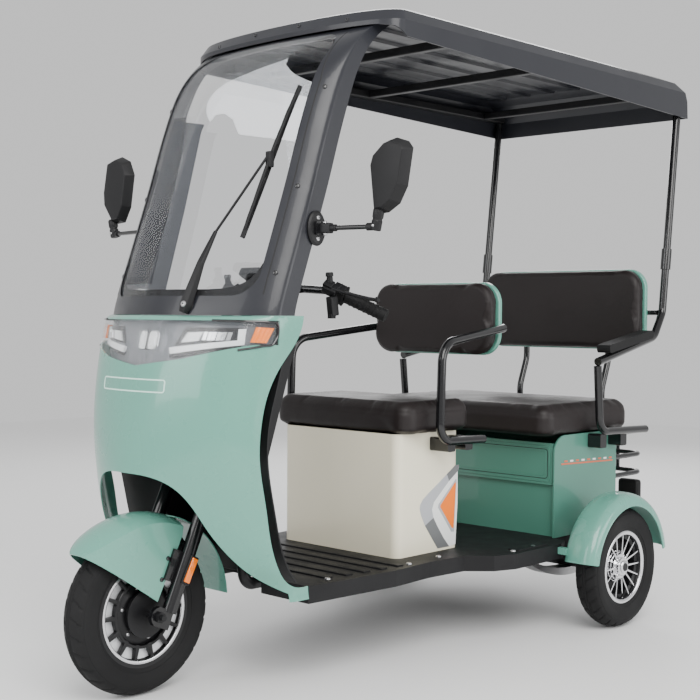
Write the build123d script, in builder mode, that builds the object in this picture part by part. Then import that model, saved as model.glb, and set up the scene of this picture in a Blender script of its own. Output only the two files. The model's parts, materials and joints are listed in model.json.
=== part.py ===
"""Covered electric tricycle: one steered wheel, two driven wheels, a canopy, two bench seats.

Frame: X forward, Y to the rider's left, Z up, in millimetres.  The origin is on the ground, under
the middle of the overall length and width.
"""

import os
from math import cos, radians, sin, tan

from build123d import *

os.makedirs("parts", exist_ok=True)

# ---------------------------------------------------------------- driving dimensions
WHEELBASE = 1462.0
REAR_TRACK = 970.0            # between the middle planes of the rear tyres
FRONT_TYRE_R = 207.5          # 3.00-10 tyre
REAR_TYRE_R = 185.0           # 3.00-8 tyre
TYRE_WIDTH = 80.0
FRONT_RIM_R = 127.0           # bead seat of a 10 inch rim
REAR_RIM_R = 101.6            # bead seat of an 8 inch rim
RIM_WIDTH = 54.0
ROOF_OVERHANG = 566.0         # from the rear axle back to the rear edge of the roof
ROOF_TOP = 1760.0
FLOOR_TOP = 270.0
RAKE = 24.0                   # steering axis from the vertical, degrees
AXLE_LEAD = 30.0              # front axle ahead of the steering axis
STEERING_LOCK = 35.0          # each way, degrees

SEAT_GAP = 0.3                # assembly clearance between pieces that sit on each other
RUNNING_GAP = 0.05            # radial clearance of a shaft in its bore

REAR_AXLE_X = -(WHEELBASE + FRONT_TYRE_R - ROOF_OVERHANG) / 2
REAR_AXLE_Z = REAR_TYRE_R
FRONT_AXLE_X = REAR_AXLE_X + WHEELBASE
FRONT_AXLE_Z = FRONT_TYRE_R
WHEEL_Y = REAR_TRACK / 2
SIDES = (("left", 1), ("right", -1))


def ahead(distance):
    """X of a station that lies this far ahead of the rear axle."""
    return REAR_AXLE_X + distance


def behind_nose(distance):
    """X of a station that lies this far behind the front axle."""
    return FRONT_AXLE_X - distance


def write(builder, name):
    """Label a finished piece and write it to its own STEP file."""
    builder.part.label = name
    export_step(builder.part, f"parts/{name}.step")


def side_plane(y):
    """Upright plane at y with local x forward and local y up."""
    return Plane(origin=(0, y, 0), x_dir=(1, 0, 0), z_dir=(0, -1, 0))


def tube(points, bend_radii, radius):
    """Round bar swept along straight runs joined by tangent arcs, added to the open part."""
    with BuildLine() as route:
        if bend_radii:
            FilletPolyline(*points, radius=bend_radii)
        else:
            Polyline(*points)
    start = route.line @ 0
    heading = route.line % 0
    with BuildSketch(Plane(origin=start, z_dir=heading)) as section:
        Circle(radius)
    sweep(sections=section.sketch, path=route.line)


# ---------------------------------------------------------------- wheels
FLANGE_HEIGHT = 11.0
FLANGE_THICKNESS = 3.5
RIM_WALL = 5.0
TYRE_CROWN_DROP = 9.0
DISC_THICKNESS = 6.0
SPOKE_COUNT = 8
FRONT_HUB_R = 52.0
FRONT_HUB_LENGTH = 46.0
FRONT_SPINDLE_R = 7.5
REAR_HUB_R = 34.0
REAR_HUB_LENGTH = 70.0
REAR_SPINDLE_R = 12.5


def wheel_plane(centre):
    """Plane through a wheel's centre with local x along its axle and local y up."""
    return Plane(origin=centre, x_dir=(0, 1, 0), z_dir=(1, 0, 0))


def make_tyre(name, centre, tyre_radius, rim_radius):
    bead = RIM_WIDTH / 2 - SEAT_GAP
    shoulder = TYRE_WIDTH * 0.36
    belly = (tyre_radius + rim_radius + FLANGE_HEIGHT) / 2
    with BuildPart() as tyre:
        with BuildSketch(wheel_plane(centre)):
            with BuildLine():
                Line((-bead, rim_radius), (bead, rim_radius))
                Line((bead, rim_radius), (bead, rim_radius + FLANGE_HEIGHT))
                ThreePointArc((bead, rim_radius + FLANGE_HEIGHT), (TYRE_WIDTH / 2, belly),
                              (shoulder, tyre_radius - TYRE_CROWN_DROP))
                ThreePointArc((shoulder, tyre_radius - TYRE_CROWN_DROP), (0, tyre_radius),
                              (-shoulder, tyre_radius - TYRE_CROWN_DROP))
                ThreePointArc((-shoulder, tyre_radius - TYRE_CROWN_DROP), (-TYRE_WIDTH / 2, belly),
                              (-bead, rim_radius + FLANGE_HEIGHT))
                Line((-bead, rim_radius + FLANGE_HEIGHT), (-bead, rim_radius))
            make_face()
        revolve(axis=Axis(centre, (0, 1, 0)))
    write(tyre, name)


def make_wheel(name, centre, rim_radius, hub_radius, hub_length, spindle_radius):
    seat = rim_radius - SEAT_GAP
    inner = seat - RIM_WALL
    bore = spindle_radius + RUNNING_GAP
    with BuildPart() as wheel:
        with BuildSketch(wheel_plane(centre)):
            with Locations((0, (seat + inner) / 2)):
                Rectangle(RIM_WIDTH, RIM_WALL)
            for end in (-1, 1):
                with Locations((end * (RIM_WIDTH + FLANGE_THICKNESS) / 2, (inner + rim_radius + FLANGE_HEIGHT) / 2)):
                    Rectangle(FLANGE_THICKNESS, rim_radius + FLANGE_HEIGHT - inner)
            with Locations((0, (hub_radius + inner) / 2)):
                Rectangle(DISC_THICKNESS, inner - hub_radius + 2)
            with Locations((0, (bore + hub_radius) / 2)):
                Rectangle(hub_length, hub_radius - bore)
        revolve(axis=Axis(centre, (0, 1, 0)))
        window_mid = (hub_radius + inner) / 2
        window_high = (inner - hub_radius) * 0.6
        with BuildSketch(Plane(origin=centre, x_dir=(1, 0, 0), z_dir=(0, 1, 0))):
            with PolarLocations(window_mid, SPOKE_COUNT):
                RectangleRounded(window_high, window_mid * 0.42, window_high * 0.2)
        extrude(amount=DISC_THICKNESS, both=True, mode=Mode.SUBTRACT)
    write(wheel, name)


front_centre = (FRONT_AXLE_X, 0, FRONT_AXLE_Z)
make_tyre("front_tyre", front_centre, FRONT_TYRE_R, FRONT_RIM_R)
make_wheel("front_wheel", front_centre, FRONT_RIM_R, FRONT_HUB_R, FRONT_HUB_LENGTH, FRONT_SPINDLE_R)
for side, sign in SIDES:
    rear_centre = (REAR_AXLE_X, sign * WHEEL_Y, REAR_AXLE_Z)
    make_tyre(f"rear_tyre_{side}", rear_centre, REAR_TYRE_R, REAR_RIM_R)
    make_wheel(f"rear_wheel_{side}", rear_centre, REAR_RIM_R, REAR_HUB_R, REAR_HUB_LENGTH, REAR_SPINDLE_R)

# ---------------------------------------------------------------- steering head geometry
STEER_X = FRONT_AXLE_X - AXLE_LEAD * cos(radians(RAKE))
STEER_Z = FRONT_AXLE_Z - AXLE_LEAD * sin(radians(RAKE))
STEER_UP = (-sin(radians(RAKE)), 0, cos(radians(RAKE)))
STEER_PLANE = Plane(origin=(STEER_X, 0, STEER_Z), x_dir=(0, 1, 0), z_dir=STEER_UP)


def along_steering(height):
    """Distance up the steering axis at which it reaches this height above the ground."""
    return (height - STEER_Z) / cos(radians(RAKE))


def steering_x(height):
    """X of the steering axis at this height above the ground."""
    return STEER_X - (height - STEER_Z) * tan(radians(RAKE))


# ---------------------------------------------------------------- fork and front axle
LEG_Y = 82.0
LEG_R = 19.0
LEG_LOW = 18.0                # lower end of the legs above the foot of the steering axis
STEM_R = 14.0
CROWN_Z = 505.0               # underside of the fork crown
CROWN_THICKNESS = 24.0
CROWN_DEPTH = 52.0
HEAD_LOW_Z = 545.0            # lower end of the head tube
HEAD_HIGH_Z = 790.0
HEAD_R = 25.0
BAR_Z = 985.0                 # height of the handlebar clamp
DROPOUT_R = 24.0
FENDER_HALF_WIDTH = 72.0
TAB_LOW = 90.0                # mounting tabs of the fender, up the steering axis
TAB_HEIGHT = 80.0
TAB_REACH = 44.0
TAB_THICKNESS = 8.0
DROPOUT_THICKNESS = 14.0
BRAKE_PLATE_R = 60.0
BRAKE_PLATE_THICKNESS = 9.0

crown_at = along_steering(CROWN_Z)
stem_top = along_steering(BAR_Z)

with BuildPart() as front_fork:
    with BuildSketch(STEER_PLANE.offset(LEG_LOW)):
        with Locations((-LEG_Y, 0), (LEG_Y, 0)):
            Circle(LEG_R)
    extrude(amount=crown_at - LEG_LOW)
    with BuildSketch(STEER_PLANE.offset(crown_at)):
        RectangleRounded(2 * (LEG_Y + LEG_R) + 8, CROWN_DEPTH, CROWN_DEPTH * 0.35)
    extrude(amount=CROWN_THICKNESS)
    with BuildSketch(STEER_PLANE.offset(crown_at + CROWN_THICKNESS)):
        Circle(STEM_R)
    extrude(amount=stem_top - crown_at - CROWN_THICKNESS)
    for _, sign in SIDES:
        dropout_plane = side_plane(sign * LEG_Y)
        with BuildSketch(dropout_plane):
            with Locations((FRONT_AXLE_X, FRONT_AXLE_Z)):
                Circle(DROPOUT_R)
        extrude(amount=DROPOUT_THICKNESS / 2, both=True)
        with BuildSketch(dropout_plane):
            with Locations(Location(((FRONT_AXLE_X + STEER_X) / 2, (FRONT_AXLE_Z + STEER_Z) / 2, 0),
                                    (0, 0, RAKE))):
                Rectangle(AXLE_LEAD + LEG_R, 2 * DROPOUT_R)
        extrude(amount=DROPOUT_THICKNESS / 2, both=True)
    for _, sign in SIDES:
        with BuildSketch(STEER_PLANE.offset(TAB_LOW)):
            with Locations((sign * (FENDER_HALF_WIDTH + SEAT_GAP + TAB_THICKNESS / 2), -TAB_REACH / 2)):
                Rectangle(TAB_THICKNESS, TAB_REACH)
        extrude(amount=TAB_HEIGHT)
    with BuildSketch(Plane(origin=(FRONT_AXLE_X, LEG_Y + LEG_R, FRONT_AXLE_Z), z_dir=(0, 1, 0))):
        Circle(FRONT_SPINDLE_R + SEAT_GAP)
    extrude(amount=-2 * (LEG_Y + LEG_R), mode=Mode.SUBTRACT)
write(front_fork, "front_fork")

hub_face = FRONT_HUB_LENGTH / 2
plate_inner = max(hub_face, RIM_WIDTH / 2 + FLANGE_THICKNESS) + 1.0
with BuildPart() as front_axle:
    with BuildSketch(Plane(origin=(FRONT_AXLE_X, 0, FRONT_AXLE_Z), z_dir=(0, 1, 0))):
        Circle(FRONT_SPINDLE_R)
    extrude(amount=LEG_Y + LEG_R + 8, both=True)
    with BuildSketch(Plane(origin=(FRONT_AXLE_X, plate_inner, FRONT_AXLE_Z), z_dir=(0, 1, 0))):
        Circle(BRAKE_PLATE_R)
    extrude(amount=BRAKE_PLATE_THICKNESS)
    for sign in (-1, 1):
        with BuildSketch(Plane(origin=(FRONT_AXLE_X, sign * (LEG_Y + DROPOUT_THICKNESS / 2 + SEAT_GAP), FRONT_AXLE_Z),
                               z_dir=(0, sign, 0))):
            RegularPolygon(14, 6)
        extrude(amount=9)
write(front_axle, "front_axle")

# ---------------------------------------------------------------- handlebar
BAR_R = 11.0
GRIP_R = 17.0
GRIP_LENGTH = 120.0
GRIP_END = (ahead(892), 318.0, 954.0)

bar_centre = (steering_x(BAR_Z), 0.0, BAR_Z)
with BuildPart() as handlebar:
    with BuildSketch(STEER_PLANE.offset(stem_top)):
        RectangleRounded(64, 44, 10)
    extrude(amount=26)
    for _, sign in SIDES:
        with BuildPart(mode=Mode.PRIVATE) as half:
            tube([(bar_centre[0] - 3, 0, BAR_Z + 12),
                  (bar_centre[0] - 12, sign * 40, BAR_Z + 16),
                  (ahead(985), sign * 95, BAR_Z + 40),
                  (ahead(958), sign * 190, BAR_Z + 34),
                  (GRIP_END[0], sign * GRIP_END[1], GRIP_END[2])], [18, 30, 60], BAR_R)
        add(half.part)
write(handlebar, "handlebar")

grip_heading = Vector(GRIP_END[0] - ahead(958), GRIP_END[1] - 190, GRIP_END[2] - BAR_Z - 34).normalized()
with BuildPart() as handlebar_grips:
    for _, sign in SIDES:
        grip_axis = Vector(grip_heading.X, sign * grip_heading.Y, grip_heading.Z)
        grip_end = Vector(GRIP_END[0], sign * GRIP_END[1], GRIP_END[2]) + grip_axis * 3
        with BuildSketch(Plane(origin=grip_end, z_dir=grip_axis)):
            Circle(GRIP_R)
        extrude(amount=-GRIP_LENGTH)
        with BuildSketch(Plane(origin=grip_end - grip_axis * 3, z_dir=grip_axis)):
            Circle(BAR_R + SEAT_GAP)
        extrude(amount=-GRIP_LENGTH, mode=Mode.SUBTRACT)
write(handlebar_grips, "handlebar_grips")

# ---------------------------------------------------------------- front fender
FENDER_R = 250.0              # outer radius of the crown about the front axle
FENDER_EDGE_DROP = 20.0       # how far the shoulders lie below the crown
FENDER_WALL = 3.0
FLAP_HALF_WIDTH = 58.0
TIP_ANGLE = 42.5              # ends of the arc, measured up from straight ahead
TIP_LENGTH = 135.0            # over which the fender narrows to its rounded tip
FLAP_ANGLE = 176.0
CHEEK_LOW = (behind_nose(8), FRONT_AXLE_Z + 34)
CHEEK_REAR = (behind_nose(86), FRONT_AXLE_Z + 190)
FENDER_FLOOR = FRONT_AXLE_Z - 60


def on_wheel_arc(radius, angle):
    """Point at this angle from straight ahead on a circle about the front axle."""
    return (FRONT_AXLE_X + radius * cos(radians(angle)), FRONT_AXLE_Z + radius * sin(radians(angle)))


def fender_bulk(inset):
    """The fender's outside with its cheeks and its narrowing tip, moved inwards by inset, as a solid."""
    half, crown = FENDER_HALF_WIDTH - inset, FENDER_R - inset
    tip_x = on_wheel_arc(FENDER_R, TIP_ANGLE)[0] + 6 - inset
    with BuildPart(mode=Mode.PRIVATE) as bulk:
        with BuildSketch(Plane(origin=(FRONT_AXLE_X, 0, FRONT_AXLE_Z), x_dir=(0, 1, 0), z_dir=(1, 0, 0))):
            with BuildLine():
                ThreePointArc((-half, crown - FENDER_EDGE_DROP), (0, crown), (half, crown - FENDER_EDGE_DROP))
                Polyline((half, crown - FENDER_EDGE_DROP), (half, 1), (-half, 1), (-half, crown - FENDER_EDGE_DROP))
            make_face()
        revolve(axis=Axis((FRONT_AXLE_X, 0, FRONT_AXLE_Z), (0, 1, 0)))
        with BuildSketch(Plane.XY.offset(FENDER_FLOOR)):
            with BuildLine():
                for end in (-1, 1):
                    Bezier((tip_x - TIP_LENGTH, end * half), (tip_x - TIP_LENGTH * 0.4, end * half),
                           (tip_x, end * half * 0.62), (tip_x, 0))
                Polyline((tip_x - TIP_LENGTH, half), (behind_nose(300), half),
                         (behind_nose(300), -half), (tip_x - TIP_LENGTH, -half))
            make_face()
        extrude(amount=2 * FENDER_R, mode=Mode.INTERSECT)
    return bulk.part


with BuildPart() as front_fender:
    add(fender_bulk(0))
    with BuildSketch(side_plane(0)):
        with BuildLine():
            Polyline(on_wheel_arc(FENDER_R + 12, TIP_ANGLE - 1), on_wheel_arc(FENDER_R + 60, 75),
                     on_wheel_arc(FENDER_R + 40, 110), CHEEK_REAR, CHEEK_LOW, close=True)
        make_face()
    extrude(amount=FENDER_HALF_WIDTH + 5, both=True, mode=Mode.INTERSECT)
    add(fender_bulk(FENDER_WALL), mode=Mode.SUBTRACT)
    inner_r = FENDER_R - FENDER_WALL
    with BuildSketch(side_plane(0)):
        with BuildLine():
            ThreePointArc(on_wheel_arc(FENDER_R - 1, 107), on_wheel_arc(FENDER_R - 1, 145), on_wheel_arc(FENDER_R - 1, FLAP_ANGLE))
            Line(on_wheel_arc(FENDER_R - 1, FLAP_ANGLE), on_wheel_arc(inner_r - 1, FLAP_ANGLE))
            ThreePointArc(on_wheel_arc(inner_r - 1, FLAP_ANGLE), on_wheel_arc(inner_r - 1, 145), on_wheel_arc(inner_r - 1, 107))
            Line(on_wheel_arc(inner_r - 1, 107), on_wheel_arc(FENDER_R - 1, 107))
        make_face()
    extrude(amount=FLAP_HALF_WIDTH, both=True)
write(front_fender, "front_fender")

# ---------------------------------------------------------------- nose shell
SHELL_WALL = 4.0
SHELL_BACK = behind_nose(300)          # rear end of the skirt
ARCH_TOP = 560.0
# height, reach of the middle ahead of the edge line, edge line behind the front axle, half width, fullness
FRAME_HALF_WIDTH = 328.0      # of the windscreen, which the nose shell continues
NOSE_LEVELS = (
    (952.0, 145.0, 183.0, FRAME_HALF_WIDTH, 0.34),
    (925.0, 186.0, 203.0, FRAME_HALF_WIDTH, 0.60),
    (893.0, 186.0, 196.0, FRAME_HALF_WIDTH - 2, 0.60),
    (830.0, 186.0, 178.0, FRAME_HALF_WIDTH - 8, 0.57),
    (750.0, 172.0, 150.0, FRAME_HALF_WIDTH - 16, 0.54),
    (650.0, 166.0, 131.0, FRAME_HALF_WIDTH - 17, 0.46),
    (540.0, 178.0, 138.0, FRAME_HALF_WIDTH - 17, 0.40),
    (420.0, 188.0, 160.0, FRAME_HALF_WIDTH - 17, 0.35),
    (320.0, 190.0, 205.0, FRAME_HALF_WIDTH - 17, 0.33),
    (240.0, 180.0, 262.0, FRAME_HALF_WIDTH - 18, 0.33),
)
NOSE_TOP = NOSE_LEVELS[0][0]
SHELL_EDGE = (
    (258, 960), (230, 880), (190, 830), (153, 760), (135, 690), (129, 600),
    (152, 481), (178, 361), (224, 293), (300, 272),
)


def nose_section(level, inset, lift=0.0):
    """Plan section of the nose at one height, moved inwards by inset and up by lift."""
    height, reach, edge, half_width, fullness = level
    side_y = half_width - inset
    edge_x = behind_nose(edge)
    front = edge_x + reach - inset
    back = SHELL_BACK - 60
    with BuildSketch(Plane.XY.offset(height + lift)) as section:
        with BuildLine():
            for end in (-1, 1):
                Bezier((edge_x, end * side_y), (edge_x + fullness * (front - edge_x), end * side_y),
                       (front, end * fullness * side_y), (front, 0))
            Polyline((edge_x, side_y), (back, side_y), (back, -side_y), (edge_x, -side_y))
        make_face()
    return section.sketch


last_level = len(NOSE_LEVELS) - 1
nose_outside = [nose_section(level, 0) for level in NOSE_LEVELS]
nose_inside = [nose_section(level, SHELL_WALL, (rank == 0) - (rank == last_level))
               for rank, level in enumerate(NOSE_LEVELS)]

LAMP_SEAT = 26.0              # depth of the lamp housing behind the lens
HOUSING_WALL = 3.0
LAMP_END = 178.0              # rear ends of the lamp on the shell's sides, behind the front axle
LAMP_REACH = FRAME_HALF_WIDTH + 30
LAMP_OUTLINE = (
    (-LAMP_REACH, 940), (0, 940), (LAMP_REACH, 940), (LAMP_REACH, 880), (302, 882), (150, 846),
    (0, 826), (-150, 846), (-302, 882), (-LAMP_REACH, 880),
)
lamp_back = [nose_section(level, LAMP_SEAT, (rank == 0) - (rank == last_level))
             for rank, level in enumerate(NOSE_LEVELS)]
lamp_rear = [nose_section(level, LAMP_SEAT + HOUSING_WALL, 2 * ((rank == 0) - (rank == last_level)))
             for rank, level in enumerate(NOSE_LEVELS)]
FRONT_VIEW = Plane(origin=(SHELL_BACK - 100, 0, 0), x_dir=(0, 1, 0), z_dir=(1, 0, 0))
FAR = 900.0                   # longer than any piece of the nose


def lamp_window(gap):
    """Front view of the headlamp's outline, widened by gap, as a solid through the nose."""
    with BuildPart(mode=Mode.PRIVATE) as window:
        with BuildSketch(Plane(origin=(behind_nose(LAMP_END) - gap, 0, 0), x_dir=(0, 1, 0), z_dir=(1, 0, 0))):
            with BuildLine():
                Polyline(*LAMP_OUTLINE, close=True)
            make_face()
            if gap:
                offset(amount=gap)
        extrude(amount=FAR)
    return window.part


def behind_edge(drop):
    """Everything behind the shell's rear edge, moved forward by drop, as a solid."""
    with BuildPart(mode=Mode.PRIVATE) as rear:
        with BuildSketch(side_plane(0)):
            with BuildLine():
                edge_line = Spline(*[(behind_nose(x - drop), z) for x, z in SHELL_EDGE])
                Polyline(edge_line @ 1, (SHELL_BACK, 200), (SHELL_BACK - 200, 200),
                         (SHELL_BACK - 200, 980), edge_line @ 0)
            make_face()
        extrude(amount=500, both=True)
    return rear.part


with BuildPart() as nose_skin:
    loft(sections=nose_outside)
    loft(sections=nose_inside, mode=Mode.SUBTRACT)
    add(behind_edge(0), mode=Mode.SUBTRACT)

with BuildPart() as nose_cowl:
    add(nose_skin.part)
    with BuildSketch(FRONT_VIEW):
        with BuildLine():
            arch = Spline((-302, 262), (-282, 290), (-250, 350), (-213, 430), (-188, 486), (-150, 530),
                          (-80, ARCH_TOP - 4), (0, ARCH_TOP), (80, ARCH_TOP - 4), (150, 530), (188, 486),
                          (213, 430), (250, 350), (282, 290), (302, 262))
            Polyline(arch @ 1, (302, 200), (-302, 200), arch @ 0)
        make_face()
    extrude(amount=FAR, mode=Mode.SUBTRACT)
    add(lamp_window(SEAT_GAP), mode=Mode.SUBTRACT)
write(nose_cowl, "nose_cowl")

with BuildPart() as headlamp_lens:
    add(nose_skin.part)
    add(lamp_window(0), mode=Mode.INTERSECT)
write(headlamp_lens, "headlamp_lens")

with BuildPart() as headlamp_housing:
    loft(sections=lamp_back)
    loft(sections=lamp_rear, mode=Mode.SUBTRACT)
    add(lamp_window(12), mode=Mode.INTERSECT)
    add(behind_edge(40), mode=Mode.SUBTRACT)
write(headlamp_housing, "headlamp_housing")

# ---------------------------------------------------------------- inner leg shield and dash
SHIELD_WALL = 4.0
SHIELD_HALF_WIDTH = FRAME_HALF_WIDTH - 24
SHIELD_INSET = 12.0           # behind the rear edge of the nose shell
COLUMN_HALF_WIDTH = 132.0
COLUMN_BACK = 84.0            # how far the column cover stands behind the steering axis
DASH_Z = 945.0
FOOTWELL_FRONT = 1152.0       # rear face of the cover at the floor
COLUMN_KNEE = 540.0           # height at which the cover leans back to follow the column


def column_back(height):
    """X of the rear face of the column cover at this height."""
    return steering_x(height) - COLUMN_BACK


shield_line = ((212, 938), (205, 860), (178, 760), (158, 690), (152, 600), (176, 470), (206, 360), (252, 286))
shield_middle = [(behind_nose(x + SHIELD_INSET - SHIELD_WALL / 2), z) for x, z in shield_line]
with BuildPart() as inner_leg_shield:
    with BuildSketch(side_plane(0)):
        with BuildLine():
            rear_line = Spline(*[(behind_nose(x + SHIELD_INSET), z) for x, z in shield_line])
            front_line = Spline(*[(behind_nose(x + SHIELD_INSET - SHIELD_WALL), z) for x, z in shield_line])
            Line(rear_line @ 0, front_line @ 0)
            Line(rear_line @ 1, front_line @ 1)
        make_face()
    extrude(amount=SHIELD_HALF_WIDTH, both=True)
    with BuildSketch(side_plane(0)):
        with BuildLine():
            Polyline((ahead(FOOTWELL_FRONT), FLOOR_TOP + SEAT_GAP), (ahead(FOOTWELL_FRONT), COLUMN_KNEE),
                     (column_back(DASH_Z), DASH_Z), *shield_middle, close=True)
        make_face()
    extrude(amount=COLUMN_HALF_WIDTH, both=True)
    with BuildSketch(side_plane(0)):
        with BuildLine():
            Polyline((ahead(FOOTWELL_FRONT) + SHIELD_WALL, FLOOR_TOP - 20),
                     (ahead(FOOTWELL_FRONT) + SHIELD_WALL, COLUMN_KNEE),
                     (column_back(DASH_Z) + SHIELD_WALL, DASH_Z - SHIELD_WALL),
                     (behind_nose(100), DASH_Z - SHIELD_WALL), (behind_nose(100), FLOOR_TOP - 20), close=True)
        make_face()
    extrude(amount=COLUMN_HALF_WIDTH - SHIELD_WALL, both=True, mode=Mode.SUBTRACT)
    with BuildSketch(STEER_PLANE.offset(along_steering(DASH_Z - 60))):
        Circle(STEM_R + 12)
    extrude(amount=120, mode=Mode.SUBTRACT)
write(inner_leg_shield, "inner_leg_shield")

# ---------------------------------------------------------------- windscreen
FRAME_DEPTH = 46.0            # pillar, front to back
PILLAR_WIDTH = 52.0
FRAME_FOOT = NOSE_TOP + SEAT_GAP
SILL_HEIGHT = 48.0
GLASS_THICKNESS = 3.0
GLASS_SETBACK = 2.0
ROOF_TOP_SKIN = 4.0
SCREEN_TOP = ROOF_TOP - ROOF_TOP_SKIN - SEAT_GAP
OPENING_TOP = 1690.0          # upper edge of the clear opening, just below the visor
# height, edge line behind the front axle, how far the middle stands ahead of the edge
SCREEN_LEVELS = (
    (FRAME_FOOT, 181.0, 135.0), (1000.0, 194.0, 135.0), (1100.0, 230.0, 135.0), (1200.0, 266.0, 135.0),
    (1300.0, 301.0, 135.0), (1400.0, 333.0, 135.0), (1500.0, 368.0, 133.0), (1580.0, 400.0, 118.0),
    (1632.0, 430.0, 92.0), (1674.0, 466.0, 60.0), (1706.0, 506.0, 32.0), (SCREEN_TOP, 600.0, 28.0),
)
CROWN_FULLNESS = 0.36


def screen_bulk(setback):
    """Everything behind the windscreen's curved front, moved back by setback, as a solid."""
    with BuildPart(mode=Mode.PRIVATE) as bulk:
        for height, edge, crown in SCREEN_LEVELS:
            lift = setback * 0.001 * ((height == SCREEN_TOP) - (height == FRAME_FOOT))
            edge_x = behind_nose(edge + setback)
            with BuildSketch(Plane.XY.offset(height + lift)):
                with BuildLine():
                    for end in (-1, 1):
                        Bezier((edge_x, end * FRAME_HALF_WIDTH),
                               (edge_x + CROWN_FULLNESS * crown, end * FRAME_HALF_WIDTH),
                               (edge_x + crown, end * CROWN_FULLNESS * FRAME_HALF_WIDTH), (edge_x + crown, 0))
                    Polyline((edge_x, FRAME_HALF_WIDTH), (behind_nose(720), FRAME_HALF_WIDTH),
                             (behind_nose(720), -FRAME_HALF_WIDTH), (edge_x, -FRAME_HALF_WIDTH))
                make_face()
        loft()
    return bulk.part


def screen_opening(margin):
    """The clear opening seen from the front, widened by margin, as a solid."""
    half = FRAME_HALF_WIDTH - PILLAR_WIDTH + margin
    low, high = FRAME_FOOT + SILL_HEIGHT - margin, OPENING_TOP + margin
    with BuildPart(mode=Mode.PRIVATE) as opening:
        with BuildSketch(Plane(origin=(behind_nose(700), 0, 0), x_dir=(0, 1, 0), z_dir=(1, 0, 0))):
            with Locations((0, (low + high) / 2)):
                RectangleRounded(2 * half, high - low, 60)
        extrude(amount=FAR)
    return opening.part


GLASS_LAP = 14.0              # the glass reaches this far over the frame
with BuildPart() as glass_rebate:
    add(screen_bulk(GLASS_SETBACK - SEAT_GAP))
    add(screen_bulk(GLASS_SETBACK + GLASS_THICKNESS + SEAT_GAP), mode=Mode.SUBTRACT)
    add(screen_opening(GLASS_LAP + SEAT_GAP), mode=Mode.INTERSECT)

with BuildPart() as windscreen_frame:
    add(screen_bulk(0))
    add(screen_bulk(FRAME_DEPTH), mode=Mode.SUBTRACT)
    add(screen_opening(0), mode=Mode.SUBTRACT)
    add(glass_rebate.part, mode=Mode.SUBTRACT)
write(windscreen_frame, "windscreen_frame")

with BuildPart() as windscreen_glass:
    add(screen_bulk(GLASS_SETBACK))
    add(screen_bulk(GLASS_SETBACK + GLASS_THICKNESS), mode=Mode.SUBTRACT)
    add(screen_opening(GLASS_LAP), mode=Mode.INTERSECT)
write(windscreen_glass, "windscreen_glass")

# ---------------------------------------------------------------- roof
ROOF_HALF_WIDTH = 400.0
ROOF_REAR = -ROOF_OVERHANG
VISOR_FRONT = 1003.0          # front lip of the roof in the middle
ROOF_SIDE_FRONT = 915.0       # where the straight sides end
VISOR_LOW = 1706.0            # lower edge of the visor
SKIRT_LOW_FRONT = 1676.0
SKIRT_LOW_REAR = 1632.0
ROOF_FULLNESS = 0.62
# height, inset of the rear, of the sides and of the front
ROOF_LEVELS = ((1600.0, 0.0, 0.0, 0.0), (1690.0, 6.0, 0.0, 1.0), (1718.0, 20.0, 0.0, 2.0),
               (1746.0, 68.0, 14.0, 18.0), (ROOF_TOP, 132.0, 46.0, 60.0))
ROOF_RIB_WIDTH = 34.0
ROOF_RIB_DEPTH = 9.0
ROOF_RIB_REAR = 160.0         # rib ends inside the rear and front edges
ROOF_RIB_FRONT = 190.0
CUT_CLEAR = 50.0              # cutting bodies reach this far past the shell
CUT_LOW = 1550.0
RIB_PITCH = 106.0
ROOF_LENGTH = VISOR_FRONT - ROOF_REAR


def roof_bulk(wall):
    """The roof's outside down to below its skirt, moved inwards by wall, as a solid."""
    with BuildPart(mode=Mode.PRIVATE) as bulk:
        for rank, (height, rear_in, side_in, front_in) in enumerate(ROOF_LEVELS):
            rear, half = ahead(ROOF_REAR + rear_in + wall), ROOF_HALF_WIDTH - side_in - wall
            start, front = ahead(ROOF_SIDE_FRONT - front_in), ahead(VISOR_FRONT - front_in - wall)
            with BuildSketch(Plane.XY.offset(height - wall)):
                with BuildLine():
                    for end in (-1, 1):
                        Bezier((start, end * half), (start + ROOF_FULLNESS * (front - start), end * half),
                               (front, end * ROOF_FULLNESS * half), (front, 0))
                    Polyline((start, half), (rear, half), (rear, -half), (start, -half))
                make_face()
        loft(ruled=True)
    return bulk.part


with BuildPart() as roof_shell:
    add(roof_bulk(0))
    add(roof_bulk(ROOF_TOP_SKIN), mode=Mode.SUBTRACT)
    with BuildSketch(side_plane(0)):
        with BuildLine():
            Polyline((ahead(ROOF_REAR - CUT_CLEAR), CUT_LOW), (ahead(ROOF_REAR - CUT_CLEAR), SKIRT_LOW_REAR),
                     (ahead(ROOF_REAR), SKIRT_LOW_REAR), (ahead(ROOF_SIDE_FRONT - 10), SKIRT_LOW_FRONT),
                     (ahead(ROOF_SIDE_FRONT + 24), VISOR_LOW - 6), (ahead(VISOR_FRONT - 40), VISOR_LOW),
                     (ahead(VISOR_FRONT + CUT_CLEAR), VISOR_LOW), (ahead(VISOR_FRONT + CUT_CLEAR), CUT_LOW),
                     close=True)
        make_face()
    extrude(amount=ROOF_HALF_WIDTH + CUT_CLEAR, both=True, mode=Mode.SUBTRACT)
    with BuildSketch(Plane(origin=(ahead(ROOF_REAR + ROOF_RIB_REAR), 0, 0), x_dir=(0, 1, 0), z_dir=(1, 0, 0))):
        for rank in range(6):
            with Locations(((rank - 2.5) * RIB_PITCH, ROOF_TOP - ROOF_TOP_SKIN + 1 - ROOF_RIB_DEPTH / 2)):
                Trapezoid(ROOF_RIB_WIDTH, ROOF_RIB_DEPTH, 60, rotation=180)
    extrude(amount=ROOF_LENGTH - ROOF_RIB_REAR - ROOF_RIB_FRONT)
write(roof_shell, "roof_shell")

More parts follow.
